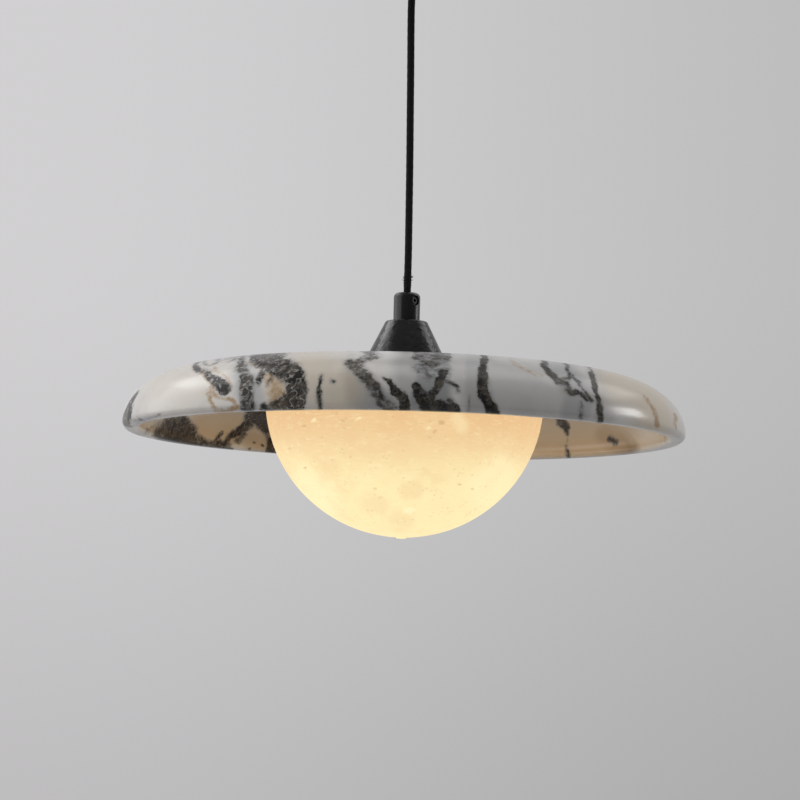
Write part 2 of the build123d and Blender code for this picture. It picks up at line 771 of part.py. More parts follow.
# Three bowed spring clips on the tray's flange, which press on the inside of the dome
clip_top = clip_seat_middle + clip_seat_height / 2
clip_bend = clip_seat_middle - clip_seat_height / 2
clip_foot = clip_bend - clip_bow_height
clip_bow_middle = clip_bend - clip_bow_height / 2
clip_crest = math.sqrt(dome_bore_radius**2 - (dome_centre - clip_foot) ** 2) - loose_gap
clip_arc = math.degrees(clip_width / tray_radius)
with BuildPart() as one_clip:
    with BuildSketch(Plane.XZ):
        with BuildLine():
            Line((tray_radius, clip_top), (tray_radius, clip_bend))
            ThreePointArc(
                (tray_radius, clip_bend),
                (clip_crest - clip_thickness, clip_bow_middle),
                (tray_radius, clip_foot),
            )
            Line((tray_radius, clip_foot), (tray_radius + clip_thickness, clip_foot))
            ThreePointArc(
                (tray_radius + clip_thickness, clip_foot),
                (clip_crest, clip_bow_middle),
                (tray_radius + clip_thickness, clip_bend),
            )
            Line((tray_radius + clip_thickness, clip_bend), (tray_radius + clip_thickness, clip_top))
            Line((tray_radius + clip_thickness, clip_top), (tray_radius, clip_top))
        make_face()
    revolve(axis=Axis.Z, revolution_arc=clip_arc)
    with Locations((0, 0, clip_seat_middle)):
        with PolarLocations(tray_radius, 1, start_angle=clip_arc / 2):
            Cylinder(
                rivet_radius + thread_clearance, 4 * clip_thickness, rotation=(0, 90, 0), mode=Mode.SUBTRACT
            )

with BuildPart() as dome_clips:
    with PolarLocations(0, clip_count, start_angle=clip_start_angle - clip_arc / 2):
        add(one_clip.part)
dome_clips.part.label = "dome_clips"
export_step(dome_clips.part, "parts/dome_clips.step")

# Rivets that hold the clips. The inner heads touch the flange's round wall at their edge
rivet_wall = math.sqrt((tray_radius - tray_thickness) ** 2 - rivet_head_radius**2)
rivet_start = rivet_wall - rivet_head_height
with BuildPart() as clip_rivets:
    with Locations((0, 0, clip_seat_middle)):
        with PolarLocations(rivet_start, clip_count, start_angle=clip_start_angle):
            Cylinder(
                rivet_radius,
                tray_radius + clip_thickness + rivet_head_height - rivet_start,
                rotation=(0, 90, 0),
                align=(Align.CENTER, Align.CENTER, Align.MIN),
            )
            Cylinder(
                rivet_head_radius,
                rivet_head_height,
                rotation=(0, 90, 0),
                align=(Align.CENTER, Align.CENTER, Align.MIN),
            )
        with PolarLocations(tray_radius + clip_thickness, clip_count, start_angle=clip_start_angle):
            Cylinder(
                rivet_head_radius,
                rivet_head_height,
                rotation=(0, 90, 0),
                align=(Align.CENTER, Align.CENTER, Align.MIN),
            )
clip_rivets.part.label = "clip_rivets"
export_step(clip_rivets.part, "parts/clip_rivets.step")
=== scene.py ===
import math
import random

import bmesh
import bpy
import numpy as np
from mathutils import Matrix, Vector


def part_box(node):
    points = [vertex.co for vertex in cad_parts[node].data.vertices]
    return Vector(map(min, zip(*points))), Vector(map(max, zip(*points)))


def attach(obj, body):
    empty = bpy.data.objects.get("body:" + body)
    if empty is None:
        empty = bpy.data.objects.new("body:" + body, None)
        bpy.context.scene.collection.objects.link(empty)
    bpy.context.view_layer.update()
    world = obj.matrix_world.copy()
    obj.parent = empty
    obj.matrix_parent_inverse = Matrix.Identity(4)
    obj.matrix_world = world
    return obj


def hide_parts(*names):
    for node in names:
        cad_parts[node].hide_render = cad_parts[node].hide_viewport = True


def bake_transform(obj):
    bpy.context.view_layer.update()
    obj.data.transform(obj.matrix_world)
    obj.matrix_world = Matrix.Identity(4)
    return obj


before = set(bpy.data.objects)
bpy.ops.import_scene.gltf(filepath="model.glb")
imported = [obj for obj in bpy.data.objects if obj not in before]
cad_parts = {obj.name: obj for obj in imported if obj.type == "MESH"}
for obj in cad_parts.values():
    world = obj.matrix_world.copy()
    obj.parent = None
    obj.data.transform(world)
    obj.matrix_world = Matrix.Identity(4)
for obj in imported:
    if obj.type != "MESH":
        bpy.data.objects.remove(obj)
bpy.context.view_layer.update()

# Marble pendant light. Metres, +Z up, origin at the ceiling, front of the lamp towards -Y.
MM = 0.001
SEED = 17

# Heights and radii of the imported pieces
marble_low, marble_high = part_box("marble_shade")
dome_low, dome_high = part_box("moon_dome")
cone_low, cone_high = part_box("cone_cap")
cord_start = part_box("rose_grip")[0].z
cord_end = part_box("lamp_grip")[1].z
lip = marble_low.z
marble_top = marble_high.z
shade_radius = marble_high.x

# Camera, fitted to the photograph
IMAGE_SIZE = 800
FOCAL_PIXELS = 3209.0
SENSOR_WIDTH = 36.0
CAMERA_DISTANCE = 2.0
CAMERA_RISE = 5.09
CAMERA_ROLL = 1.396
LIP_PIXEL_X = 403.66
LIP_PIXEL_Y = 436.93


def add_object(name, data):
    piece = bpy.data.objects.new(name, data)
    bpy.context.scene.collection.objects.link(piece)
    return piece


def make_camera():
    """The camera looks up a little at the centre of the shade's lip."""
    data = bpy.data.cameras.new("camera")
    data.sensor_width = SENSOR_WIDTH
    data.lens = FOCAL_PIXELS / IMAGE_SIZE * SENSOR_WIDTH
    data.shift_x = (IMAGE_SIZE / 2 - LIP_PIXEL_X) / IMAGE_SIZE
    data.shift_y = (LIP_PIXEL_Y - IMAGE_SIZE / 2) / IMAGE_SIZE
    camera = add_object("camera", data)
    rise = math.radians(CAMERA_RISE)
    ahead = Vector((0, math.cos(rise), math.sin(rise)))
    camera.location = Vector((0, 0, lip)) - CAMERA_DISTANCE * ahead
    camera.rotation_mode = "QUATERNION"
    turn = Matrix.Rotation(math.radians(CAMERA_ROLL), 3, "Z")
    camera.rotation_quaternion = (ahead.to_track_quat("-Z", "Y").to_matrix() @ turn).to_quaternion()
    bpy.context.scene.camera = camera


def new_object(name, vertices, faces):
    """A smooth mesh object from vertices and faces."""
    mesh = bpy.data.meshes.new(name)
    mesh.from_pydata([tuple(v) for v in vertices], [], faces)
    mesh.validate()
    for polygon in mesh.polygons:
        polygon.use_smooth = True
    return add_object(name, mesh)


# Material nodes


class Nodes:
    """A material with one Principled shader, and short names for the nodes that feed it."""

    def __init__(self, name):
        self.material = bpy.data.materials.new(name)
        self.material.use_nodes = True
        self.tree = self.material.node_tree
        self.tree.nodes.clear()
        self.output = self.add("ShaderNodeOutputMaterial")
        self.shader = self.add("ShaderNodeBsdfPrincipled")
        self.tree.links.new(self.shader.outputs[0], self.output.inputs[0])
        metres = self.add("ShaderNodeTexCoord").outputs["Object"]
        self.place = self.vector("SCALE", metres, scale=1 / MM)

    def add(self, kind, **settings):
        node = self.tree.nodes.new(kind)
        for name, value in settings.items():
            setattr(node, name, value)
        return node

    def put(self, socket, value):
        if isinstance(value, bpy.types.NodeSocket):
            self.tree.links.new(value, socket)
        else:
            socket.default_value = value

    def set(self, **values):
        """Values or sockets for the shader's inputs, such as base_color or roughness."""
        for name, value in values.items():
            words = name.replace("_", " ").title().replace("Ior", "IOR")
            if isinstance(value, tuple) and len(value) == 3:
                value = (*value, 1.0)
            self.put(self.shader.inputs[words], value)

    def math(self, kind, a, b=0.0):
        node = self.add("ShaderNodeMath", operation=kind)
        self.put(node.inputs[0], a)
        self.put(node.inputs[1], b)
        return node.outputs[0]

    def plus(self, a, b):
        return self.math("ADD", a, b)

    def times(self, a, b):
        return self.math("MULTIPLY", a, b)

    def most(self, a, b):
        return self.math("MAXIMUM", a, b)

    def vector(self, kind, a, b=(0.0, 0.0, 0.0), scale=1.0):
        node = self.add("ShaderNodeVectorMath", operation=kind)
        self.put(node.inputs[0], a)
        self.put(node.inputs[1], b)
        if kind == "SCALE":
            self.put(node.inputs["Scale"], scale)
        return node.outputs["Value" if kind in ("DOT_PRODUCT", "LENGTH", "DISTANCE") else "Vector"]

    def noise(self, size, detail=3.0, roughness=0.5, at=None, colour=False):
        """Noise whose blobs are about size millimetres wide."""
        node = self.add("ShaderNodeTexNoise")
        self.put(node.inputs["Vector"], at or self.place)
        node.inputs["Scale"].default_value = 1 / size
        node.inputs["Detail"].default_value = detail
        node.inputs["Roughness"].default_value = roughness
        return node.outputs["Color" if colour else "Fac"]

    def crest(self, size, **settings):
        """0 along winding lines in the noise, and more away from them."""
        return self.math("ABSOLUTE", self.math("SUBTRACT", self.noise(size, **settings), 0.5))

    def shift(self, size, **settings):
        """A noise vector, each of whose numbers swings about 0."""
        return self.vector("SUBTRACT", self.noise(size, colour=True, **settings), (0.5, 0.5, 0.5))

    def moved(self, place, *shifts):
        """The place plus each pair of a vector and its scale."""
        for vector, scale in shifts:
            place = self.vector("ADD", place, self.vector("SCALE", vector, scale=scale))
        return place

    def cells(self, size, at=None, output="Distance"):
        """Distance from the middle of cells about size millimetres wide, or a colour for each."""
        node = self.add("ShaderNodeTexVoronoi")
        self.put(node.inputs["Vector"], at or self.place)
        node.inputs["Scale"].default_value = 1 / size
        return node.outputs[output]

    def step(self, value, start, end, low=0.0, high=1.0):
        """Rises smoothly from low to high as the value goes from start to end."""
        node = self.add("ShaderNodeMapRange", interpolation_type="SMOOTHSTEP", clamp=False)
        names = ("Value", "From Min", "From Max", "To Min", "To Max")
        for name, number in zip(names, (value, start, end, low, high)):
            self.put(node.inputs[name], number)
        return node.outputs[0]

    def mix(self, share, a, b):
        """The colour a where share is 0, and b where it is 1."""
        node = self.add("ShaderNodeMix", data_type="RGBA")
        self.put(node.inputs["Factor"], share)
        sockets = [s for s in node.inputs if s.type == "RGBA"]
        for socket, colour in zip(sockets, (a, b)):
            if isinstance(colour, tuple):
                colour = (*colour, 1.0)
            self.put(socket, colour)
        return [s for s in node.outputs if s.type == "RGBA"][0]

    def bump(self, height, depth):
        """A bump of the given depth in millimetres."""
        node = self.add("ShaderNodeBump")
        node.inputs["Strength"].default_value = 1.0
        node.inputs["Distance"].default_value = depth * MM
        self.put(node.inputs["Height"], height)
        self.put(self.shader.inputs["Normal"], node.outputs[0])

    def parts(self, vector):
        node = self.add("ShaderNodeSeparateXYZ")
        self.put(node.inputs[0], vector)
        return node.outputs[0], node.outputs[1], node.outputs[2]

    def joined(self, x, y, z):
        node = self.add("ShaderNodeCombineXYZ")
        for socket, value in zip(node.inputs, (x, y, z)):
            self.put(socket, value)
        return node.outputs[0]

    def radius(self, x, y):
        """The distance from the lamp's axis."""
        return self.vector("LENGTH", self.joined(x, y, 0.0))

    def seen(self):
        """1 for rays from the camera, a reflection or glass, and 0 for those that carry light."""
        path = self.add("ShaderNodeLightPath").outputs
        share = self.most(path["Is Camera Ray"], path["Is Glossy Ray"])
        return self.most(share, path["Is Transmission Ray"])


def painted(name, colour, roughness, peel=0.02, wave=0.0):
    """Black paint over metal: fine orange peel, uneven gloss and a little dust. A wave is a long, shallow dent."""
    n = Nodes(name)
    dust = n.step(n.noise(1.4, detail=6, roughness=0.75), 0.62, 0.8)
    n.set(base_color=n.mix(n.times(dust, 0.12), colour, (0.22, 0.21, 0.2)))
    n.set(roughness=n.step(n.noise(9, detail=4), 0.3, 0.7, roughness * 0.85, roughness * 1.2))
    height = n.noise(0.9, detail=2)
    if wave:
        height = n.plus(height, n.times(n.noise(6, detail=2), wave))
    n.bump(height, peel)
    return n.material


def plated(name, colour, roughness, streak=(1.0, 1.0, 14.0)):
    """Bare or plated metal: fine drawn streaks, duller in patches."""
    n = Nodes(name)
    drawn = n.vector("MULTIPLY", n.place, streak)
    lines = n.noise(2.2, detail=5, roughness=0.7, at=drawn)
    patch = n.noise(7, detail=3)
    dark = tuple(0.72 * c for c in colour)
    n.set(base_color=n.mix(n.step(patch, 0.35, 0.75), colour, dark), metallic=1.0)
    n.set(roughness=n.step(lines, 0.3, 0.7, roughness * 0.75, roughness * 1.3))
    n.bump(lines, 0.012)
    return n.material


def turned(name, colour, roughness):
    """Spun sheet metal: fine rings round the lamp's axis."""
    n = Nodes(name)
    x, y, z = n.parts(n.place)
    radius = n.radius(x, y)
    rings = n.noise(0.5, detail=3, at=n.joined(radius, z, 0.0))
    smear = n.noise(14, detail=4)
    dark = tuple(0.8 * c for c in colour)
    n.set(base_color=n.mix(n.step(smear, 0.3, 0.7), colour, dark), metallic=1.0)
    n.set(roughness=n.step(rings, 0.3, 0.7, roughness * 0.8, roughness * 1.25))
    n.bump(rings, 0.015)
    return n.material


def moulded(name, colour, roughness, grain=0.5, depth=0.015):
    """Moulded plastic or rubber: fine spark grain and slightly cloudy colour."""
    n = Nodes(name)
    cloud = n.noise(6, detail=3)
    second = tuple(0.88 * c for c in colour)
    n.set(base_color=n.mix(n.step(cloud, 0.3, 0.7), colour, second))
    n.set(roughness=n.step(n.noise(3, detail=2), 0.3, 0.7, roughness * 0.9, roughness * 1.12))
    n.bump(n.noise(grain, detail=2), depth)
    return n.material


def earth_sheath():
    """Green sheath with a yellow stripe."""
    n = Nodes("earth_sheath")
    x = n.parts(n.place)[0]
    stripe = n.step(n.math("SINE", n.times(x, 3.4)), -0.1, 0.25)
    n.set(base_color=n.mix(stripe, (0.07, 0.28, 0.06), (0.72, 0.62, 0.05)), roughness=0.42)
    n.bump(n.noise(0.6), 0.01)
    return n.material


def board_mask():
    """White solder mask over faint copper tracks, with a rough cut edge."""
    n = Nodes("solder_mask")
    x, y, _ = n.parts(n.place)
    radius = n.radius(x, y)
    track = n.step(n.math("SINE", n.times(radius, 1.25)), 0.5, 0.62)
    cloud = n.noise(5, detail=3)
    mask = n.mix(n.step(cloud, 0.3, 0.7), (0.84, 0.84, 0.81), (0.78, 0.79, 0.77))
    n.set(base_color=n.mix(n.times(track, 0.35), mask, (0.7, 0.72, 0.66)), roughness=0.38)
    n.bump(track, 0.03)
    return n.material


def led_phosphor():
    """Yellow phosphor of an LED chip, lit."""
    n = Nodes("led_phosphor")
    speck = n.noise(0.35, detail=3)
    glow = n.mix(n.step(speck, 0.3, 0.7), (1.0, 0.86, 0.6), (1.0, 0.78, 0.46))
    n.set(base_color=(0.9, 0.72, 0.3), roughness=0.55)
    n.set(emission_color=glow, emission_strength=1.6)
    return n.material


def clear_moulding():
    """Milky clear polyamide of the terminal block."""
    n = Nodes("clear_polyamide")
    cloud = n.noise(4, detail=3)
    n.set(base_color=n.mix(n.step(cloud, 0.3, 0.7), (0.78, 0.8, 0.77), (0.66, 0.69, 0.66)))
    n.set(roughness=0.32, transmission_weight=0.25, ior=1.5)
    n.bump(n.noise(0.8), 0.02)
    return n.material


def textile(name):
    """Black polyester yarn: fine filaments along each strand, greyer where the fuzz catches light."""
    n = Nodes(name)
    filament = n.noise(0.16, detail=4, roughness=0.7)
    fuzz = n.step(n.noise(1.1, detail=5, roughness=0.7), 0.5, 0.72)
    dark = n.mix(n.step(filament, 0.3, 0.7), (0.005, 0.005, 0.005), (0.022, 0.022, 0.022))
    n.set(base_color=n.mix(n.times(fuzz, 0.35), dark, (0.05, 0.05, 0.05)))
    n.set(roughness=0.85, sheen_weight=0.08, sheen_roughness=0.5, specular_ior_level=0.15)
    n.bump(filament, 0.05)
    return n.material


# Marble. A vein is a path of (x, z, half width) in millimetres from the lamp's axis and the lip, seen from the
# front, and then how soft its edge is and how strong it is.
FRONT_DARK = (
    (((-163, 19, 0.6), (-167, 11, 2.2), (-170, 5, 4), (-171, 0, 3.6)), 0.4, 1),
    (((-170, 1, 0.4), (-166, 1, 0.5), (-160, 0, 0.4), (-145, 1, 0.3)), 0.2, 0.7),
    (((-126, 33, 1), (-123, 28, 1.5)), 1, 0.95),
    (((-123, 28, 1.3), (-115, 24, 1.6)), 1.2, 0.68),
    (((-115, 23, 1.8), (-110, 18, 3), (-104, 13, 2.8)), 1.2, 0.95),
    (((-125, 34, 0.4), (-116, 30, 0.5), (-109, 33, 0.6), (-98, 32, 0.7), (-88, 34, 0.8)), 0.8, 0.7),
    (((-96, 32, 0.7), (-95, 25, 2.2), (-92, 18, 3), (-91, 11, 2.4), (-90, 0, 3)), 2.6, 0.82),
    (((-86, 33, 4), (-78, 29, 5), (-70, 24, 5.5), (-64, 19, 4.5)), 3, 0.92),
    (((-82, 25, 1.8), (-85, 16, 0.8)), 1.8, 0.8),
    (((-75, 22, 1), (-79, 15, 0.4)), 1.8, 0.7),
    (((-65, 23, 4.5), (-62, 12, 5), (-64, 0, 5)), 2, 1),
    (((-80, 1, 2), (-72, 3, 2.5), (-66, 6, 3)), 2, 0.85),
    (((-48, 20, 0.4), (-49, 11, 1), (-48, 0, 0.8)), 0.9, 0.85),
    (((-42, 17, 0.5), (-41, 16, 0.5)), 0.8, 0.9),
    (((-32, 28, 1.5), (-29, 26, 2.6), (-23, 19, 2.7), (-18, 13, 2.5), (-14, 6, 2.4), (-8, 0, 2.8)), 2.4, 0.8),
    (((-29, 27, 1.5), (-23, 31, 1.2), (-13, 35, 1)), 1.2, 0.76),
    (((-9, 16, 0.9), (-6, 11, 1.8), (-1, 6, 2.4), (0, 0, 2.7)), 1, 1),
    (((-12, 18, 0.4), (-11, 17, 0.4)), 0.6, 0.9),
    (((7, 32, 2), (14, 29, 2.6), (23, 32, 2)), 2.2, 0.78),
    (((8, 25, 3), (15, 22, 4), (22, 23, 3)), 3, 0.68),
    (((6, 14, 1.8), (9, 8, 3), (15, 1, 3.2)), 1.3, 1),
    (((22, 23, 2.2), (19, 14, 2), (14, 6, 2)), 1.4, 0.92),
    (((24, 18, 0.7), (30, 14, 0.9), (31, 11, 0.5)), 0.9, 0.76),
    (((12, 2, 2.6), (20, 3, 2.4), (28, 1, 2.2)), 1.6, 0.95),
    (((26, 5, 1.4), (30, 0, 1.5)), 1.2, 0.9),
    (((37, 9, 0.3), (37, 0, 0.4)), 0.7, 0.62),
    (((46, 36, 1.2), (45, 27, 1.5), (44.5, 19, 2), (45, 11, 2.4), (49, 4, 2.9), (51, 0, 3)), 1.2, 1),
    (((46, 34, 1), (52, 34, 0.6)), 0.9, 0.72),
    (((80, 35, 1.2), (84, 27, 1.6), (88, 23, 1.8), (93, 21, 1.5)), 1.3, 0.92),
    (((95, 33, 0.8), (96, 26, 0.9), (101, 23, 0.9), (105, 17, 0.8), (109, 12, 0.9)), 1, 0.84),
    (((93, 21, 1.4), (96, 16, 1.3), (102, 16, 0.9), (106, 12, 0.8)), 1.2, 0.84),
    (((88, 23, 0.8), (95, 24, 0.9), (98, 27, 0.6)), 1, 0.78),
    (((102, 10, 0.4), (102, 2, 0.9)), 0.8, 0.7),
    (((109.5, 31, 0.9), (110, 27, 1), (111, 20, 1.1), (114, 8, 1.3), (114, 0, 1.1)), 0.8, 0.96),
)
BACK_DARK = (
    (((-154, 2, 3.5), (-149, 7, 4.5), (-143, 11, 4.5)), 2.4, 0.9),
    (((-149, 1, 3), (-142, 3, 4.5), (-141, 9, 4)), 2.4, 0.95),
    (((-138, 0, 1.4), (-128, 0, 1), (-114, 0, 0.8)), 0.8, 0.9),
    (((-136, 4, 1.2), (-126, 1, 1.6), (-116, 3, 1.2)), 2, 0.8),
    (((-126, 1, 0.4), (-121, 8, 0.4), (-119, 10, 0.2)), 0.5, 0.85),
    (((-119, 1, 0.8), (-114, 8, 1.2), (-109, 12, 1.8), (-103, 17, 2.5)), 1, 0.92),
    (((-110, 5, 1.2), (-106, 10, 1.2)), 1, 0.8),
    (((-101, 21, 2), (-95, 21, 3.5), (-91, 17, 3.5)), 2.6, 1),
    (((-90, 14, 1.5), (-88, 7, 2), (-88, 0, 2.5)), 1.2, 1),
    (((-99, 5, 0.3), (-98, 5, 0.3)), 0, 1),
    (((-94, 4, 0.3), (-93, 4, 0.3)), 0, 1),
    (((-102, 1, 0.3), (-101, 1, 0.3)), 0, 1),
    (((-169, 0, 0.3), (-163, 1, 0.4), (-161, 4, 0.3), (-156, 10, 0.3)), 0.2, 0.6),
    (((97, 38, 2.6), (103, 22, 1.8), (107, 19, 1.4), (108, 15, 0.5)), 0.8, 0.9),
    (((108, 15, 0.1), (108, 8, 0.1)), 0.3, 0.5),
    (((108, 8, 0.3), (109, 0, 0.3)), 0.8, 0.75),
    (((134.5, 9.8, 0.7), (138, 7.8, 0.9)), 1.6, 0.74),
)
FRONT_OCHRE = (
    (((-120, 25, 0.5), (-114, 19, 0.7), (-112, 12, 0.8), (-107, 8, 0.6), (-100, 6, 0.6), (-96, 2, 0.6)), 0.7, 1),
    (((-96, 2, 0.6), (-102, 0, 0.6), (-109, 0, 0.6), (-111, 3, 0.6), (-115, 13, 0.5)), 0.7, 1),
    (((-112, 27, 0.5), (-105, 22, 0.7), (-101, 14, 0.5)), 0.8, 0.8),
    (((-78, 20, 1.6), (-74, 11, 3.4), (-73, 3, 2.8)), 3, 0.8),
    (((-74, 12, 0.5), (-69, 8, 0.6), (-75, 1, 0.6)), 0.8, 0.9),
    (((-92, 30, 0.4), (-84, 27, 0.6), (-83, 22, 0.5)), 0.8, 0.8),
    (((-66, 28, 0.4), (-63, 20, 0.6), (-58, 16, 0.4)), 0.8, 0.8),
    (((-84, 28, 0.6), (-76, 26, 0.7), (-70, 30, 0.5)), 1.2, 0.8),
    (((-72, 27, 0.5), (-64, 22, 0.6), (-60, 15, 0.5)), 1.2, 0.75),
    (((59, 34, 0.6), (68, 29, 0.6), (74, 25, 0.5), (80, 25, 0.6)), 1.4, 0.6),
    (((143, 20, 0.6), (146, 15, 0.8), (149, 11, 0.9), (151, 3, 0.7)), 0.9, 1),
    (((164, 12, 0.7), (164, 5, 0.7)), 0.9, 0.95),
)
FRONT_CREAM = (
    (((-75, 19, 3), (-73, 4, 3.5)), 4, 0.8),
    (((-56, 25, 6), (-40, 12, 8)), 12, 0.55),
    (((-140, 22, 8), (-120, 20, 8)), 14, 0.3),
    (((128, 26, 6), (145, 25, 6), (150, 8, 6)), 12, 0.7),
)
FRONT_GREY = (
    (((-30, 22, 3), (-24, 8, 6), (-14, 2, 7)), 4, 0.85),
    (((-94, 22, 5), (-88, 8, 5)), 4, 0.6),
    (((4, 26, 7), (6, 6, 7)), 6, 0.6),
    (((16, 30, 7), (16, 20, 8), (14, 4, 10)), 4, 1),
    (((40, 28, 4), (44, 4, 7)), 5, 0.65),
    (((30, 30, 8), (60, 14, 12), (104, 12, 12)), 10, 0.4),
    (((92, 28, 5), (102, 14, 6), (98, 2, 5)), 7, 0.75),
    (((112, 28, 3), (114, 2, 4)), 6, 0.5),
)
BACK_CREAM = (
    (((-130, 12, 6), (-112, 14, 7)), 3, 0.9),
    (((-100, 10, 5), (-98, 2, 5)), 3, 0.5),
    (((95, 14, 9), (130, 10, 9)), 14, 0.8),
)
BACK_BROWN = (
    (((130, 13, 2), (138, 8, 4), (145, 2, 3)), 3, 0.95),
    (((-150, 6, 5), (-142, 4, 5)), 6, 0.6),
    (((-110, 14, 5), (-92, 10, 5)), 6, 0.6),
)

WHITE = (0.8, 0.77, 0.735)
CLEAN = (0.87, 0.85, 0.825)
COOL = (0.56, 0.57, 0.59)
SLATE = (0.4, 0.41, 0.425)
CREAM = (0.78, 0.66, 0.49)
TAN = (0.62, 0.49, 0.33)
BROWN = (0.17, 0.11, 0.065)
GREY = (0.33, 0.325, 0.325)
OCHRE = (0.42, 0.235, 0.07)
CHARCOAL = (0.018, 0.018, 0.018)
UMBER = (0.115, 0.1, 0.08)
FRAGMENT = (0.52, 0.5, 0.47)
SEPIA = (0.045, 0.033, 0.023)

# Millimetres over which every vein fades out, what that takes from its half width, and how far a region looks for
# veins beyond its own border
VEIN_FADE = 2.4
VEIN_CORE = 0.8
VEIN_REACH = 25
VEIN_INPUTS = ("X", "Z", "Start X", "Start Z", "Unit X", "Unit Z", "Back X", "Back Z", "Width", "Growth",
               "Softness", "Strength", "So Far")


def vein_group():
    """A node group: the nearness to one straight run of a vein, or the total so far where that is more.

    It uses plain numbers, no vectors, because Cycles can't hold many vectors at once in one shader.
    """
    tree = bpy.data.node_groups.new("vein_run", "ShaderNodeTree")
    for name in VEIN_INPUTS:
        tree.interface.new_socket(name=name, in_out="INPUT", socket_type="NodeSocketFloat")
    tree.interface.new_socket(name="Total", in_out="OUTPUT", socket_type="NodeSocketFloat")
    nodes, links = tree.nodes, tree.links
    given = nodes.new("NodeGroupInput").outputs
    result = nodes.new("NodeGroupOutput").inputs

    def use(operation, *values):
        node = nodes.new("ShaderNodeMath")
        node.operation = operation
        for socket, value in zip(node.inputs, values):
            links.new(value, socket)
        return node.outputs[0]

    reach_x = use("SUBTRACT", given["X"], given["Start X"])
    reach_z = use("SUBTRACT", given["Z"], given["Start Z"])
    along_x = use("MULTIPLY", reach_x, given["Unit X"])
    clamped = nodes.new("ShaderNodeClamp")
    links.new(use("MULTIPLY_ADD", reach_z, given["Unit Z"], along_x), clamped.inputs[0])
    share = clamped.outputs[0]
    gap_x = use("MULTIPLY_ADD", share, given["Back X"], reach_x)
    gap_z = use("MULTIPLY_ADD", share, given["Back Z"], reach_z)
    gap = use("SQRT", use("MULTIPLY_ADD", gap_z, gap_z, use("MULTIPLY", gap_x, gap_x)))
    width = use("MULTIPLY_ADD", share, given["Growth"], given["Width"])
    edge = use("ADD", width, given["Softness"])
    fall = nodes.new("ShaderNodeMapRange")
    fall.interpolation_type = "SMOOTHSTEP"
    fall.clamp = False
    for name, value in (("Value", gap), ("From Min", edge), ("From Max", width)):
        links.new(value, fall.inputs[name])
    mask = use("MULTIPLY", fall.outputs[0], given["Strength"])
    links.new(use("MAXIMUM", mask, given["So Far"]), result["Total"])
    return tree


def vein_mask(n, group, x, z, veins, least_fade=VEIN_FADE, core=VEIN_CORE):
    """The strongest of a list of veins at each place. It fades from 1 in the vein's core to 0 past its edge."""
    total = 0.0
    for path, softness, strength in veins:
        fade = least_fade + 1.4 * softness
        for (x0, z0, w0), (x1, z1, w1) in zip(path, path[1:]):
            run_x, run_z = x1 - x0, z1 - z0
            square = run_x**2 + run_z**2
            values = (x, z, x0, z0, run_x / square, run_z / square, -run_x, -run_z, w0 - core, w1 - w0,
                      fade, strength, total)
            node = n.add("ShaderNodeGroup", node_tree=group)
            for socket, value in zip(node.inputs, values):
                n.put(socket, value)
            total = node.outputs[0]
    return total


# The shade's regions, each with a material of its own: towards the front (-1) or the back (1), and from x to x
MARBLE_REGIONS = (("marble_left", -1, -200, -40), ("marble_right", -1, -40, 200), ("marble_back", 1, -200, 200))


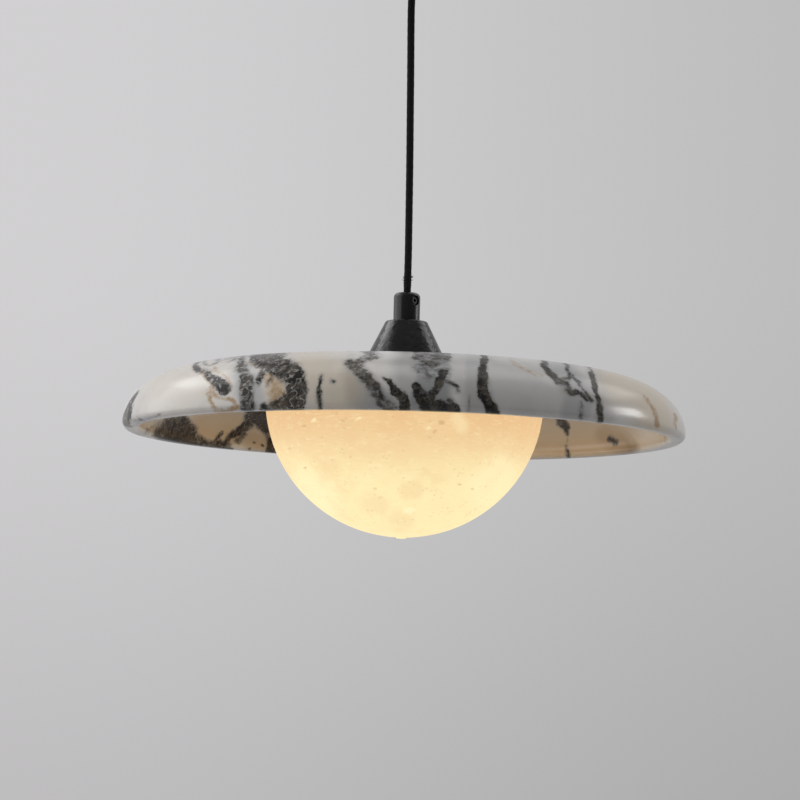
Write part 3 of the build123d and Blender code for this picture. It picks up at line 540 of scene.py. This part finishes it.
def marble(name, facing, low_x, high_x):
    """Polished white marble with dark, broken veins and ochre seams that run through the stone."""
    n = Nodes(name)
    group = bpy.data.node_groups.get("vein_run") or vein_group()
    x, y, z = n.parts(n.place)
    height = n.math("SUBTRACT", z, lip / MM)
    radius = n.radius(x, y)

    # The veins wander a little everywhere, and more where they run on over the flat top
    wander = n.shift(70, detail=2)
    inward = n.step(radius, 132, 100, 0.0, 80.0)
    ripple = n.shift(9, detail=3)
    ragged = n.shift(2.2, detail=4, roughness=0.65)
    place = n.joined(x, 0.0, n.math("MINIMUM", height, 32.0))
    place = n.moved(place, (wander, inward), (ripple, 4.0), (ragged, n.step(x, 28, 44, 2.6, 1.3)))
    vein_x, _, vein_z = n.parts(place)

    # Where the tables hold: the rim on one side of the stone, with a wandering border
    milk = n.noise(14, detail=5, roughness=0.6)
    drift = n.times(milk, 18.0)
    beyond = n.math("SUBTRACT", y, n.times(drift, facing))
    near = n.times(n.step(beyond, 0, 18 * facing), n.step(n.plus(radius, drift), 112, 134))

    def mask(front, back):
        veins = [
            vein for vein in (front if facing < 0 else back)
            if min(p[0] for p in vein[0]) < high_x + VEIN_REACH and max(p[0] for p in vein[0]) > low_x - VEIN_REACH
        ]
        return n.times(vein_mask(n, group, vein_x, vein_z, veins), near)

    # Veins of the rest of the stone: they run front to back, in banks between clear stretches
    flow = n.vector("MULTIPLY", n.moved(n.place, (wander, 70.0), (ripple, 9.0)), (1.0, 0.3, 0.7))
    flow = n.moved(flow, (ragged, 2.0))
    bank = n.step(n.noise(62, detail=1, at=flow), 0.45, 0.58)
    rest = n.times(n.step(n.crest(30, detail=2, at=flow), 0.075, 0.02), bank)
    thread = n.step(n.crest(19, detail=2, at=flow), 0.02, 0.004)
    thin_veins = n.times(thread, n.step(bank, 0.0, 0.6, 0.0, 0.75))
    rest = n.most(rest, thin_veins)
    clear = n.math("SUBTRACT", 1.0, near)
    rest = n.times(rest, clear)

    # Broken edges: the mask is worn away by noise, and light fragments float in it
    grain = n.noise(3.2, detail=6, roughness=0.72)
    tufts = n.noise(8, detail=4, roughness=0.65)
    chip_shade = n.parts(n.cells(2.6, at=n.moved(n.place, (ragged, 3.0)), output="Color"))[0]
    dark = n.most(mask(FRONT_DARK, BACK_DARK), rest)
    feather = n.math("SUBTRACT", n.plus(n.times(grain, 0.7), n.times(tufts, 0.8)), 0.75)
    worn = n.plus(dark, n.times(feather, 1.15))
    inside = near if facing > 0 else 0.0
    start = n.math("SUBTRACT", 0.46, n.times(inside, 0.26))
    end = n.plus(0.88, n.times(inside, 0.1))
    dark_share = n.times(n.step(worn, start, end), 0.97)
    smoke = n.times(n.step(dark, 0.03, 0.8), n.step(feather, -0.4, 0.4, 0.25, 0.95))
    floating = n.times(n.step(chip_shade, 0.8, 0.9), n.step(tufts, 0.45, 0.6))
    hairline = n.times(n.step(n.crest(6.5, detail=2), 0.03, 0.006), n.step(tufts, 0.4, 0.6))
    floating = n.most(floating, hairline)
    floating = n.times(floating, n.step(x, -35, -60, 0.2, 1.0))

    # Ground colour: clean white, cooler and warmer clouds
    cloud = n.noise(46, detail=4, roughness=0.55)
    ground = n.mix(n.step(cloud, 0.35, 0.65), WHITE, CLEAN)
    ground = n.mix(n.times(n.step(milk, 0.45, 0.75), 0.3), ground, COOL)
    warm = n.times(n.step(n.noise(60, detail=2), 0.52, 0.7), 0.35)
    ground = n.mix(n.times(warm, clear), ground, CREAM)
    ground = n.mix(mask(FRONT_GREY, BACK_BROWN), ground, SLATE if facing < 0 else BROWN)
    ground = n.mix(mask(FRONT_CREAM, BACK_CREAM), ground, CREAM if facing < 0 else TAN)
    ground = n.mix(smoke, ground, GREY)
    if facing < 0:
        seam = n.times(mask(FRONT_OCHRE, ()), n.plus(1.0, n.times(feather, 3.2)))
        ground = n.mix(n.times(n.step(seam, 0.2, 1.25), 0.85), ground, OCHRE)
    ink = n.mix(n.step(n.noise(7, detail=4, roughness=0.6), 0.42, 0.66), CHARCOAL, UMBER)
    ink = n.mix(n.times(floating, 0.8), ink, FRAGMENT)
    if facing > 0:
        ink = n.mix(n.times(near, 0.6), ink, SEPIA)
    n.set(base_color=n.mix(dark_share, ground, ink), specular_ior_level=n.step(dark_share, 0.0, 1.0, 0.5, 0.08))
    n.set(roughness=n.step(n.noise(40, detail=1), 0.3, 0.7, 0.21, 0.27))
    n.set(coat_weight=0.1, coat_roughness=0.12)
    n.bump(n.noise(30, detail=1), 0.03)
    return n.material


# Colours of the dome's glow: at the top and lower down, in duller and brighter patches, and in pits
GLOW_TOP = (0.79, 0.5, 0.245)
GLOW_LOW = (0.96, 0.8, 0.43)
GLOW_PATCH = (0.86, 0.62, 0.32)
GLOW_BRIGHT = (1.0, 0.88, 0.52)
GLOW_SPECK = (0.5, 0.32, 0.16)
# How much more strongly the dome lights its surroundings than it shows
DOME_LIGHT = 0.55
# Patches and small pits on the dome's front, laid out as the marble's veins are
MOON_PATCHES = (
    (((-22, -12, 3), (-15, -13, 3)), 4, 0.6),
    (((0, -15, 2), (5, -12, 3)), 4, 0.55),
    (((3, -38, 2.5), (8, -37, 2.5)), 3.5, 0.5),
    (((-20, -45, 2.5), (-13, -46, 2.5)), 4, 0.4),
    (((-3, -54, 2), (3, -55, 2)), 4, 0.4),
    (((52, -16, 0.8), (53, -20, 1.2)), 1.2, 0.6),
    (((-45, -2, 3), (-20, 4, 3)), 7, 0.35),
    (((12, 6, 3), (30, 0, 3)), 7, 0.35),
)
MOON_BRIGHTS = (
    (((2, -49, 0.6), (6, -49, 0.6)), 0.9, 0.8),
    (((-60, -32, 2), (-48, -44, 3)), 9, 0.6),
    (((50, -34, 3), (60, -24, 3)), 9, 0.6),
    (((-55, 3, 0.4), (-54, 3, 0.4)), 0.4, 0.6),
    (((-28, 3, 0.3), (-27, 3, 0.3)), 0.4, 0.6),
    (((32, 5, 0.8), (35, 1, 1)), 4, 0.35),
    (((14, -2, 0.3), (15, -2, 0.3)), 0.6, 0.5),
)
MOON_PITS = (
    (((22, 2, 0.7), (23, 2, 0.7)), 0.5, 0.9),
    (((-61, 0, 0.3), (-60, 0, 0.3)), 0.3, 0.8),
    (((-37, 2, 0.3), (-36, 2, 0.3)), 0.3, 0.6),
    (((-60, -24, 0.2), (-59, -24, 0.2)), 0.3, 0.8),
    (((18, -4, 0.4), (19, -3, 0.4)), 0.3, 0.7),
    (((15, -7, 0.3), (16, -7, 0.3)), 0.3, 0.5),
    (((34, -33, 0.2), (35, -33, 0.2)), 0.3, 0.7),
    (((42, -35, 0.2), (43, -35, 0.2)), 0.3, 0.6),
    (((-17, -37, 0.2), (-16, -37, 0.2)), 0.3, 0.6),
    (((-70, -12, 0.3), (-69, -12, 0.3)), 0.3, 0.5),
)


def moon():
    """Thin printed shell, lit from inside: soft patches, small pits and faint print layers."""
    n = Nodes("moon_shell")
    group = bpy.data.node_groups["vein_run"]
    x, y, z = n.parts(n.place)
    height = n.math("SUBTRACT", z, lip / MM)
    front = n.step(y, 0, -20)
    maria = n.noise(30, detail=5, roughness=0.62)
    mottle = n.noise(7, detail=5, roughness=0.6)
    streaks = n.noise(6, detail=4, roughness=0.6, at=n.vector("MULTIPLY", n.place, (1.0, 1.0, 4.0)))
    wobble = n.times(n.math("SUBTRACT", mottle, 0.5), 7.0)
    patch_x, patch_z = n.plus(x, wobble), n.plus(height, wobble)

    def spots(veins, spot_x, spot_z):
        return n.times(vein_mask(n, group, spot_x, spot_z, veins, 0.4, 0.0), front)

    low = n.plus(height, n.times(n.math("SUBTRACT", maria, 0.5), 30.0))
    glow = n.mix(n.step(low, 12, -40), GLOW_TOP, GLOW_LOW)
    patch = n.times(n.step(n.plus(maria, n.times(mottle, 0.25)), 0.62, 0.8), 0.35)
    glow = n.mix(n.most(patch, spots(MOON_PATCHES, patch_x, patch_z)), glow, GLOW_PATCH)
    bright = n.times(n.step(streaks, 0.5, 0.75), 0.35)
    glow = n.mix(n.most(bright, spots(MOON_BRIGHTS, patch_x, patch_z)), glow, GLOW_BRIGHT)
    speck = n.step(n.cells(6.5), 0.16, 0.07)
    speck = n.times(speck, n.step(n.noise(14, detail=1), 0.5, 0.6))
    fine = n.times(n.step(n.cells(3.4), 0.32, 0.14), n.step(n.noise(9, detail=2), 0.48, 0.6))
    speck = n.most(n.times(speck, 0.3), n.times(fine, 0.45))
    pits = n.most(speck, spots(MOON_PITS, x, height))
    glow = n.mix(n.times(pits, 0.6), glow, GLOW_SPECK)
    layers = n.math("SINE", n.times(z, 5.2))
    glow = n.mix(n.times(n.step(layers, -1.0, 1.0), 0.04), glow, GLOW_PATCH)
    n.set(base_color=n.mix(n.step(mottle, 0.3, 0.7), (0.2, 0.18, 0.15), (0.17, 0.15, 0.12)))
    n.set(roughness=0.6, specular_ior_level=0.3)
    path = n.add("ShaderNodeLightPath")
    lit = n.plus(1.0, n.times(path.outputs["Is Diffuse Ray"], DOME_LIGHT))
    n.set(emission_color=glow, emission_strength=lit)
    n.bump(n.plus(n.times(layers, 0.3), mottle), 0.12)
    return n.material


# Turned pieces


def lathe(name, profile, steps):
    """Turns a closed profile of (radius, height) points about the lamp's axis."""
    vertices = []
    for k in range(steps):
        turn = 2 * math.pi * k / steps
        for radius, height in profile:
            vertices.append((radius * math.cos(turn), radius * math.sin(turn), height))
    count = len(profile)
    faces = []
    for k in range(steps):
        here, there = k * count, (k + 1) % steps * count
        for i in range(count):
            j = (i + 1) % count
            faces.append((here + i, there + i, there + j, here + j))
    return new_object(name, vertices, faces)


def arc(centre, radii, start, end, steps):
    """Points on a quarter of an ellipse or a circle, in degrees, both ends included."""
    points = []
    for k in range(steps + 1):
        turn = math.radians(start + (end - start) * k / steps)
        points.append((centre[0] + radii[0] * math.cos(turn), centre[1] + radii[1] * math.sin(turn)))
    return points


def line(start, end, steps):
    """Points from start up to end, end left out."""
    return [
        (start[0] + (end[0] - start[0]) * k / steps, start[1] + (end[1] - start[1]) * k / steps)
        for k in range(steps)
    ]


# Marble shade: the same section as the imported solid
SHADE_WALL = 11 * MM
SHADE_FLAT_RADIUS = 123 * MM
SHADE_HOLE_RADIUS = 5.8 * MM
LIP_OUTER_RADIUS = 4 * MM
LIP_INNER_RADIUS = 3 * MM


def make_shade():
    centre = (SHADE_FLAT_RADIUS, lip + LIP_OUTER_RADIUS)
    wide, tall = shade_radius - SHADE_FLAT_RADIUS, marble_top - lip - LIP_OUTER_RADIUS
    bore = shade_radius - SHADE_WALL
    ceiling = marble_top - SHADE_WALL
    outer_lip = (shade_radius - LIP_OUTER_RADIUS, lip + LIP_OUTER_RADIUS)
    inner_lip = (bore + LIP_INNER_RADIUS, lip + LIP_INNER_RADIUS)
    profile = line((SHADE_HOLE_RADIUS, marble_top), (SHADE_FLAT_RADIUS, marble_top), 24)
    profile += arc(centre, (wide, tall), 90, 0, 48)
    profile += arc(outer_lip, (LIP_OUTER_RADIUS, LIP_OUTER_RADIUS), 0, -90, 10)[1:]
    profile += arc(inner_lip, (LIP_INNER_RADIUS, LIP_INNER_RADIUS), 270, 180, 8)
    profile += arc(centre, (wide - SHADE_WALL, tall - SHADE_WALL), 0, 90, 40)
    profile += line((SHADE_FLAT_RADIUS, ceiling), (SHADE_HOLE_RADIUS, ceiling), 20)[1:]
    profile += [(SHADE_HOLE_RADIUS, ceiling)]
    shade = lathe("marble_shell", profile[::-1], 480)
    for region in MARBLE_REGIONS:
        shade.data.materials.append(marble(*region))
    for polygon in shade.data.polygons:
        middle = polygon.center / MM
        for index, (_, facing, low_x, high_x) in enumerate(MARBLE_REGIONS):
            if facing * middle.y > 0 and low_x < middle.x < high_x:
                polygon.material_index = index
    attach(shade, "lamp")
    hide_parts("marble_shade")


# Moon dome: a hollow ball's lower part, with craters and print relief sunk into its outside
DOME_WALL = 2 * MM
DOME_RIM_RISE = 2 * MM
DOME_FOOT_RADIUS = 3.1 * MM
DOME_FOOT_HEIGHT = 0.6 * MM
DOME_FOOT_OVERLAP = 0.4 * MM
DOME_FOOT_ROUND = 0.2 * MM
DOME_FOOT_BORE = 0.05 * MM
DOME_ROWS = 150
DOME_INNER_ROWS = 40
DOME_COLUMNS = 420
CRATER_COUNT = 260


def dome_relief(directions):
    """How deep each point of the dome's outside lies under the ball, in metres."""
    dice = np.random.default_rng(SEED)
    depth = np.full(len(directions), 0.16)
    for _ in range(CRATER_COUNT):
        centre = dice.normal(size=3)
        centre /= np.linalg.norm(centre)
        size = 0.012 + 0.075 * dice.random() ** 3.2
        away = np.arccos(np.clip(directions @ centre, -1, 1)) / size
        bowl = np.clip(1 - away**2, 0, 1)
        rim = np.exp(-(((away - 1.05) / 0.22) ** 2))
        depth += (0.16 * bowl - 0.1 * rim) * min(1.0, size / 0.04)
    return np.clip(depth, 0.0, 0.55) * MM


def ball_rows(start, rows, columns):
    """Directions from a ball's middle, in rows from a start angle down towards the lowest point."""
    polar = start - (start + math.pi / 2) * np.arange(rows)[:, None] / rows
    turn = 2 * math.pi * np.arange(columns)[None, :] / columns
    flat = np.cos(polar)
    return np.stack(np.broadcast_arrays(flat * np.cos(turn), flat * np.sin(turn), np.sin(polar)), -1)


def add_bowl(vertices, faces, rows, pole, outward):
    """Adds a bowl from rows of points and its lowest point to the lists, and gives its first point's number."""
    base, columns = len(vertices), len(rows[0])
    for row in rows:
        vertices.extend(tuple(point) for point in row)
    vertices.append(pole)
    last = base + (len(rows) - 1) * columns
    for a in range(base, last, columns):
        for column in range(columns):
            after = (column + 1) % columns
            face = (a + column, a + columns + column, a + columns + after, a + after)
            faces.append(face if outward else face[:1] + face[:0:-1])
    for column in range(columns):
        face = (last + column, len(vertices) - 1, last + (column + 1) % columns)
        faces.append(face if outward else face[::-1])
    return base


def make_dome():
    radius = dome_high.x
    bore = radius - DOME_WALL
    foot = dome_low.z
    centre_z = foot + DOME_FOOT_HEIGHT + radius
    centre = np.array((0, 0, centre_z))
    vertices, faces = [], []
    directions = ball_rows(math.asin(DOME_RIM_RISE / radius), DOME_ROWS, DOME_COLUMNS)
    relief = dome_relief(directions.reshape(-1, 3)).reshape(DOME_ROWS, DOME_COLUMNS)
    smooth_rim = np.clip(np.arange(DOME_ROWS) / 4, 0, 1)[:, None]
    outside = directions * (radius - relief * smooth_rim)[..., None] + centre
    add_bowl(vertices, faces, outside, (0, 0, centre_z - radius), True)
    inside = ball_rows(math.asin(DOME_RIM_RISE / bore), DOME_INNER_ROWS, DOME_COLUMNS) * bore + centre
    base = add_bowl(vertices, faces, inside, (0, 0, centre_z - bore), False)
    for column in range(DOME_COLUMNS):
        after = (column + 1) % DOME_COLUMNS
        faces.append((column, after, base + after, base + column))
    dome = new_object("moon_shell", vertices, faces)
    shell = moon()
    dome.data.materials.append(shell)
    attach(dome, "diffuser")
    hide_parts("moon_dome")

    # The flat foot left by printing
    top = foot + DOME_FOOT_HEIGHT + DOME_FOOT_OVERLAP
    flat = DOME_FOOT_RADIUS - DOME_FOOT_ROUND
    profile = line((DOME_FOOT_RADIUS, top), (DOME_FOOT_RADIUS, foot + DOME_FOOT_ROUND), 2)
    profile += arc((flat, foot + DOME_FOOT_ROUND), (DOME_FOOT_ROUND, DOME_FOOT_ROUND), 0, -90, 4)
    profile += line((flat, foot), (DOME_FOOT_BORE, foot), 4)[1:]
    profile += [(DOME_FOOT_BORE, foot), (DOME_FOOT_BORE, top)]
    nub = lathe("moon_foot", profile, 48)
    nub.data.materials.append(shell)
    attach(nub, "diffuser")


# Cone cap: a thin cone with rolled edges
CONE_WALL = 2 * MM
CONE_TOP_RADIUS = 13 * MM
CONE_EDGE_RADIUS = 1.4 * MM
CONE_HOLE_RADIUS = 5.3 * MM
CONE_FOOT_ROUND = 0.4 * MM


def rounded(corners, steps=6):
    """A closed profile whose corners, given as (radius, height, round), are rounded off."""
    points = []
    count = len(corners)
    for k in range(count):
        before, here, after = (Vector(corners[(k + d) % count][:2]) for d in (-1, 0, 1))
        size = corners[k][2]
        if size == 0:
            points.append(tuple(here))
            continue
        back, ahead = (before - here).normalized(), (after - here).normalized()
        half = back.angle(ahead) / 2
        start, end = here + back * size / math.tan(half), here + ahead * size / math.tan(half)
        middle = here + (back + ahead).normalized() * size / math.sin(half)
        first, last = start - middle, end - middle
        sweep = first.angle(last)
        for i in range(steps + 1):
            t = i / steps
            point = (math.sin((1 - t) * sweep) * first + math.sin(t * sweep) * last) / math.sin(sweep)
            points.append(tuple(middle + point))
    return points


def make_cone():
    foot_radius = cone_high.x
    slope = (foot_radius - CONE_TOP_RADIUS) / (cone_high.z - cone_low.z)
    side = CONE_WALL * math.sqrt(1 + slope**2)
    inner_top = cone_high.z - CONE_WALL
    corners = [
        (CONE_HOLE_RADIUS, cone_high.z, 0.2 * MM),
        (CONE_TOP_RADIUS, cone_high.z, CONE_EDGE_RADIUS),
        (foot_radius, cone_low.z, CONE_FOOT_ROUND),
        (foot_radius - side, cone_low.z, CONE_FOOT_ROUND),
        (CONE_TOP_RADIUS + slope * CONE_WALL - side, inner_top, 0.5 * MM),
        (CONE_HOLE_RADIUS, inner_top, 0.2 * MM),
    ]
    cone = lathe("cone_shell", rounded(corners)[::-1], 160)
    cone.data.materials.append(painted("satin_cone", (0.008, 0.008, 0.008), 0.2, wave=28.0))
    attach(cone, "lamp")
    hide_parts("cone_cap")


# Cord: a braid of flat yarns round a core
CORD_RADIUS = 2.3 * MM
CORE_RADIUS = 0.8 * CORD_RADIUS
CORE_SIDES = 16
YARNS = 12
YARN_PITCH = 15 * MM
YARN_STEP = 0.7 * MM
YARN_THICKNESS = 0.28 * MM
YARN_MIDDLE_RADIUS = 0.91 * CORD_RADIUS
YARN_LIFT = 0.115 * CORD_RADIUS - YARN_THICKNESS / 2
YARN_HALF_WIDTH = 0.92 * math.pi * CORD_RADIUS / YARNS / math.sqrt(2)
FUZZ_COUNT = 260
FRAY_COUNT = 9

# The cord's route: (sideways, share of the way down), straight but for the lean just under the ceiling grip
ROUTE = ((0, 0), (-0.0011, 0.015), (-0.0018, 0.05), (-0.0017, 0.8 / 6), (-0.0012, 1.6 / 6), (-0.0008, 2.5 / 6),
         (-0.0003, 3.5 / 6), (0, 4.6 / 6), (0.0002, 0.9), (0, 1))
cord_route = [(sideways, cord_start + share * (cord_end - cord_start)) for sideways, share in ROUTE]


def spline_points(points, resolution=24):
    """Points along a smooth NURBS line through the route's control points."""
    curve = bpy.data.curves.new("route", "CURVE")
    curve.dimensions = "3D"
    spline = curve.splines.new("NURBS")
    spline.points.add(len(points) - 1)
    for point, (sideways, height) in zip(spline.points, points):
        point.co = (sideways, 0, height, 1)
    spline.order_u = 3
    spline.use_endpoint_u = True
    spline.resolution_u = resolution
    holder = add_object("route", curve)
    mesh = bpy.data.meshes.new_from_object(holder)
    found = [v.co.copy() for v in mesh.vertices]
    bpy.data.objects.remove(holder)
    bpy.data.meshes.remove(mesh)
    return found


def evenly(points, step):
    """The same line, with points a step apart."""
    lengths = [0.0]
    for a, b in zip(points, points[1:]):
        lengths.append(lengths[-1] + (b - a).length)
    count = max(2, round(lengths[-1] / step))
    found = []
    i = 0
    for k in range(count + 1):
        at = lengths[-1] * k / count
        while i < len(points) - 2 and lengths[i + 1] < at:
            i += 1
        share = (at - lengths[i]) / max(lengths[i + 1] - lengths[i], 1e-9)
        found.append(points[i].lerp(points[i + 1], share))
    return found, lengths[-1]


def tube(vertices, faces, rings):
    """Adds a closed tube through rings of points to the lists."""
    base = len(vertices)
    sides = len(rings[0])
    for ring in rings:
        vertices.extend(ring)
    for r in range(len(rings) - 1):
        for s in range(sides):
            t = (s + 1) % sides
            a, b = base + r * sides, base + (r + 1) * sides
            faces.append((a + s, b + s, b + t, a + t))
    faces.append(tuple(base + s for s in range(sides)))
    faces.append(tuple(base + (len(rings) - 1) * sides + s for s in reversed(range(sides))))


def swelling(height):
    """The cord is a little thicker where its sleeve bunches up on the grip."""
    above = (height - cord_end) / MM
    return 0.06 * math.exp(-(((above - 7) / 4) ** 2))


def around(turn):
    """Directions outwards from the cord's line and round it."""
    return Vector((math.cos(turn), math.sin(turn), 0)), Vector((-math.sin(turn), math.cos(turn), 0))


def yarn_rings(path, length, direction, number):
    """One yarn's sections, as it winds round the core over and under those that wind the other way."""
    rings = []
    for i, point in enumerate(path):
        along = length * i / (len(path) - 1)
        radial, tangent = around(direction * 2 * math.pi * along / YARN_PITCH + 2 * math.pi * number / YARNS)
        wave = math.cos(2 * math.pi * YARNS * along / YARN_PITCH + math.pi * (number + (direction < 0)))
        radius = (YARN_MIDDLE_RADIUS + YARN_LIFT * wave) * (1 + swelling(point.z))
        across = (tangent * direction * 0.7 + Vector((0, 0, 0.7))).normalized() * YARN_HALF_WIDTH
        centre, lift = point + radial * radius, radial * YARN_THICKNESS / 2
        rings.append([centre + across, centre + across * 0.55 + lift, centre - across * 0.55 + lift,
                      centre - across, centre - lift])
    return rings


def loose_fibre(dice, path):
    """A fibre's sections, curling out of the braid."""
    i = dice.randrange(4, len(path) - 4)
    radial, tangent = around(dice.uniform(0, 2 * math.pi))
    reach = dice.uniform(0.25, 0.9) * MM
    drift = tangent * dice.uniform(-1, 1) + Vector((0, 0, dice.uniform(-1, 1)))
    rings = []
    for t in (0, 0.25, 0.5, 0.75, 1):
        centre = path[i] + radial * (CORD_RADIUS * 0.96 + reach * math.sin(t * 2.2)) + drift * t * 1.4 * MM
        thick = 0.035 * MM * (1.2 - t)
        rings.append([centre + (radial * math.cos(a) + tangent * math.sin(a)) * thick for a in (0.0, 2.1, 4.2)])
    return rings


def frayed_tuft(dice):
    """A tuft's sections, just above the lamp's grip."""
    height = cord_end + dice.uniform(6, 11) * MM
    radial, tangent = around(dice.choice((0.0, math.pi)) + dice.uniform(-0.7, 0.7))
    lean = Vector((0, 0, dice.uniform(-0.9, 0.9)))
    rings = []
    for t in (0, 0.25, 0.5, 0.75, 1):
        centre = Vector((0, 0, height)) + radial * (CORD_RADIUS * 0.95 + 1.6 * MM * t) + lean * t * MM
        thick = 0.3 * MM * (1.1 - t)
        rings.append([centre + (Vector((0, 0, math.cos(a))) + tangent * math.sin(a)) * thick
                      for a in (0.0, 1.57, 3.14, 4.71)])
    return rings


def make_cord():
    path, length = evenly(spline_points(cord_route), YARN_STEP)
    vertices, faces = [], []
    core_turns = [2 * math.pi * s / CORE_SIDES for s in range(CORE_SIDES)]
    tube(vertices, faces, [[point + around(turn)[0] * CORE_RADIUS for turn in core_turns]
                           for point in path[::4] + [path[-1]]])
    for direction in (1, -1):
        for number in range(YARNS):
            tube(vertices, faces, yarn_rings(path, length, direction, number))
    cord = new_object("braided_cord", vertices, faces)
    mesh = bmesh.new()
    mesh.from_mesh(cord.data)
    bmesh.ops.recalc_face_normals(mesh, faces=mesh.faces)
    mesh.to_mesh(cord.data)
    mesh.free()

    dice = random.Random(SEED)
    vertices, faces = [], []
    for _ in range(FUZZ_COUNT):
        tube(vertices, faces, loose_fibre(dice, path))
    for _ in range(FRAY_COUNT):
        tube(vertices, faces, frayed_tuft(dice))
    fuzz = new_object("cord_fuzz", vertices, faces)

    yarn = textile("braided_yarn")
    for piece in (cord, fuzz):
        piece.data.materials.append(yarn)
        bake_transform(piece)
    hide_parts("cord_top", "cord_main", "cord_foot")


def dress_nodes():
    """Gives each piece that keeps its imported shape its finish."""
    finishes = (
        (painted("satin_black", (0.016, 0.016, 0.016), 0.36, peel=0.03), "rose_cup"),
        (painted("gloss_black", (0.011, 0.011, 0.012), 0.24), "rose_screws rose_grip lamp_grip"),
        (painted("black_oxide", (0.02, 0.02, 0.02), 0.42), "lamp_grip_screw"),
        (plated("zinc_plate", (0.62, 0.61, 0.58), 0.34), "ceiling_bracket earth_ring support_plate dome_clips"),
        (plated("zinc_nuts", (0.6, 0.58, 0.52), 0.3, streak=(1.0, 1.0, 3.0)),
         "upper_washer lower_washer upper_nut lower_nut rose_grip_nut rose_grip_screw board_screws threaded_tube"),
        (plated("brass", (0.74, 0.56, 0.26), 0.28, streak=(3.0, 3.0, 3.0)), "earth_screw terminal_screws"),
        (turned("spun_aluminium", (0.8, 0.8, 0.8), 0.38), "lamp_tray clip_rivets"),
        (moulded("black_rubber", (0.03, 0.03, 0.03), 0.75, grain=0.7, depth=0.03),
         "driver_pad cone_pad upper_gasket lower_gasket"),
        (moulded("white_plastic", (0.8, 0.8, 0.78), 0.45), "led_driver board_connector"),
        (moulded("lead_sheath", (0.66, 0.66, 0.65), 0.5, grain=0.4), "output_lead input_lead board_lead"),
        (moulded("thermal_pad", (0.3, 0.36, 0.42), 0.8, grain=0.3, depth=0.02), "thermal_pad"),
        (textile("cord_end_yarn"), "cord_rose_end cord_lamp_end"),
        (earth_sheath(), "earth_lead"),
        (board_mask(), "led_board"),
        (led_phosphor(), "led_chips"),
        (clear_moulding(), "terminal_block"),
    )
    for material, nodes in finishes:
        for node in nodes.split():
            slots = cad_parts[node].data.materials
            slots.clear()
            slots.append(material)


# Stage and light
FLOOR_HEIGHT = -3.0
WALL_RADIUS = 3.6
WALL_TOP = 4.0
STAGE_STEPS = 96
# Painted light on the wall's glow: brighter to the left, dimmer to the right and towards the floor
WALL_LEFT = (0.64, 0.63, 0.64)
WALL_RIGHT = (0.5, 0.5, 0.505)
WALL_LOW = 0.78
WALL_REFLECTION = 0.22


def stage_material():
    """A pale grey studio wall whose glow is painted light: a slow fade to the right and downwards, and dimmer in
    reflections from the front.
    """
    n = Nodes("studio_wall")
    x, y, z = n.parts(n.vector("SCALE", n.place, scale=MM))
    colour = n.mix(n.step(x, -0.7, 1.0), WALL_LEFT, WALL_RIGHT)
    colour = n.vector("SCALE", colour, scale=n.step(z, -0.95, 0.35, WALL_LOW, 1.0))
    n.set(base_color=(0.62, 0.62, 0.62), roughness=0.9)
    glow = n.add("ShaderNodeEmission")
    n.put(glow.inputs["Color"], colour)
    straight = n.add("ShaderNodeLightPath").outputs["Is Camera Ray"]
    reflected = n.step(y, -2.0, 2.0, WALL_REFLECTION, 1.0)
    n.put(glow.inputs["Strength"], n.most(straight, reflected))
    clear = n.add("ShaderNodeBsdfTransparent")
    shown = n.add("ShaderNodeMixShader")
    for socket, value in zip(shown.inputs, (n.seen(), clear.outputs[0], glow.outputs[0])):
        n.put(socket, value)
    n.put(n.output.inputs[0], shown.outputs[0])
    return n.material


def floor_material():
    n = Nodes("studio_floor")
    cloud = n.noise(900, detail=2)
    colour = n.mix(n.step(cloud, 0.3, 0.7), (0.55, 0.55, 0.55), (0.52, 0.52, 0.525))
    n.set(base_color=colour, roughness=0.8)
    n.set(emission_color=colour, emission_strength=n.times(n.seen(), 0.6))
    return n.material


def circle(height):
    """The studio wall's outline at a height."""
    turns = [2 * math.pi * k / STAGE_STEPS for k in range(STAGE_STEPS)]
    return [(WALL_RADIUS * math.cos(turn), WALL_RADIUS * math.sin(turn), height) for turn in turns]


def make_stage():
    faces = []
    for k in range(STAGE_STEPS):
        after = (k + 1) % STAGE_STEPS
        faces.append((k, STAGE_STEPS + k, STAGE_STEPS + after, after))
    wall = new_object("backdrop", circle(WALL_TOP) + circle(FLOOR_HEIGHT), faces)
    wall.data.materials.append(stage_material())
    floor = new_object("floor", circle(FLOOR_HEIGHT), [tuple(range(STAGE_STEPS))])
    floor.data.materials.append(floor_material())


# Lamps: name, place, width, height and power, in metres and watts. All face the shade.
LAMPS = (
    ("left_box", (-2.0, -0.1, 0.3), 3.1, 2.7, 27),
    ("left_window", (-1.5, 0.85, 1.5), 1.3, 1.2, 8),
    ("right_box", (1.87, 0.36, 0.2), 0.56, 0.4, 4.3),
    ("right_window", (1.5, 0.85, 1.5), 1.3, 1.2, 6),
    ("top_box", (0.2, 0.3, 1.9), 1.6, 1.6, 7),
)
WORLD_COLOUR = (1.0, 0.985, 0.97, 1.0)
WORLD_STRENGTH = 0.26


def make_lights():
    world = bpy.data.worlds.new("studio")
    world.use_nodes = True
    backdrop = world.node_tree.nodes["Background"]
    backdrop.inputs["Color"].default_value = WORLD_COLOUR
    backdrop.inputs["Strength"].default_value = WORLD_STRENGTH
    bpy.context.scene.world = world
    for name, place, width, height, power in LAMPS:
        data = bpy.data.lights.new(name, "AREA")
        data.shape = "RECTANGLE"
        data.size = width
        data.size_y = height
        data.energy = power
        lamp = add_object(name, data)
        lamp.location = place
        lamp.rotation_mode = "QUATERNION"
        lamp.rotation_quaternion = (Vector((0, 0, lip)) - Vector(place)).to_track_quat("-Z", "Y")


make_camera()
make_cord()
dress_nodes()
make_shade()
make_dome()
make_cone()
make_stage()
make_lights()

bpy.context.scene.view_settings.view_transform = "Standard"
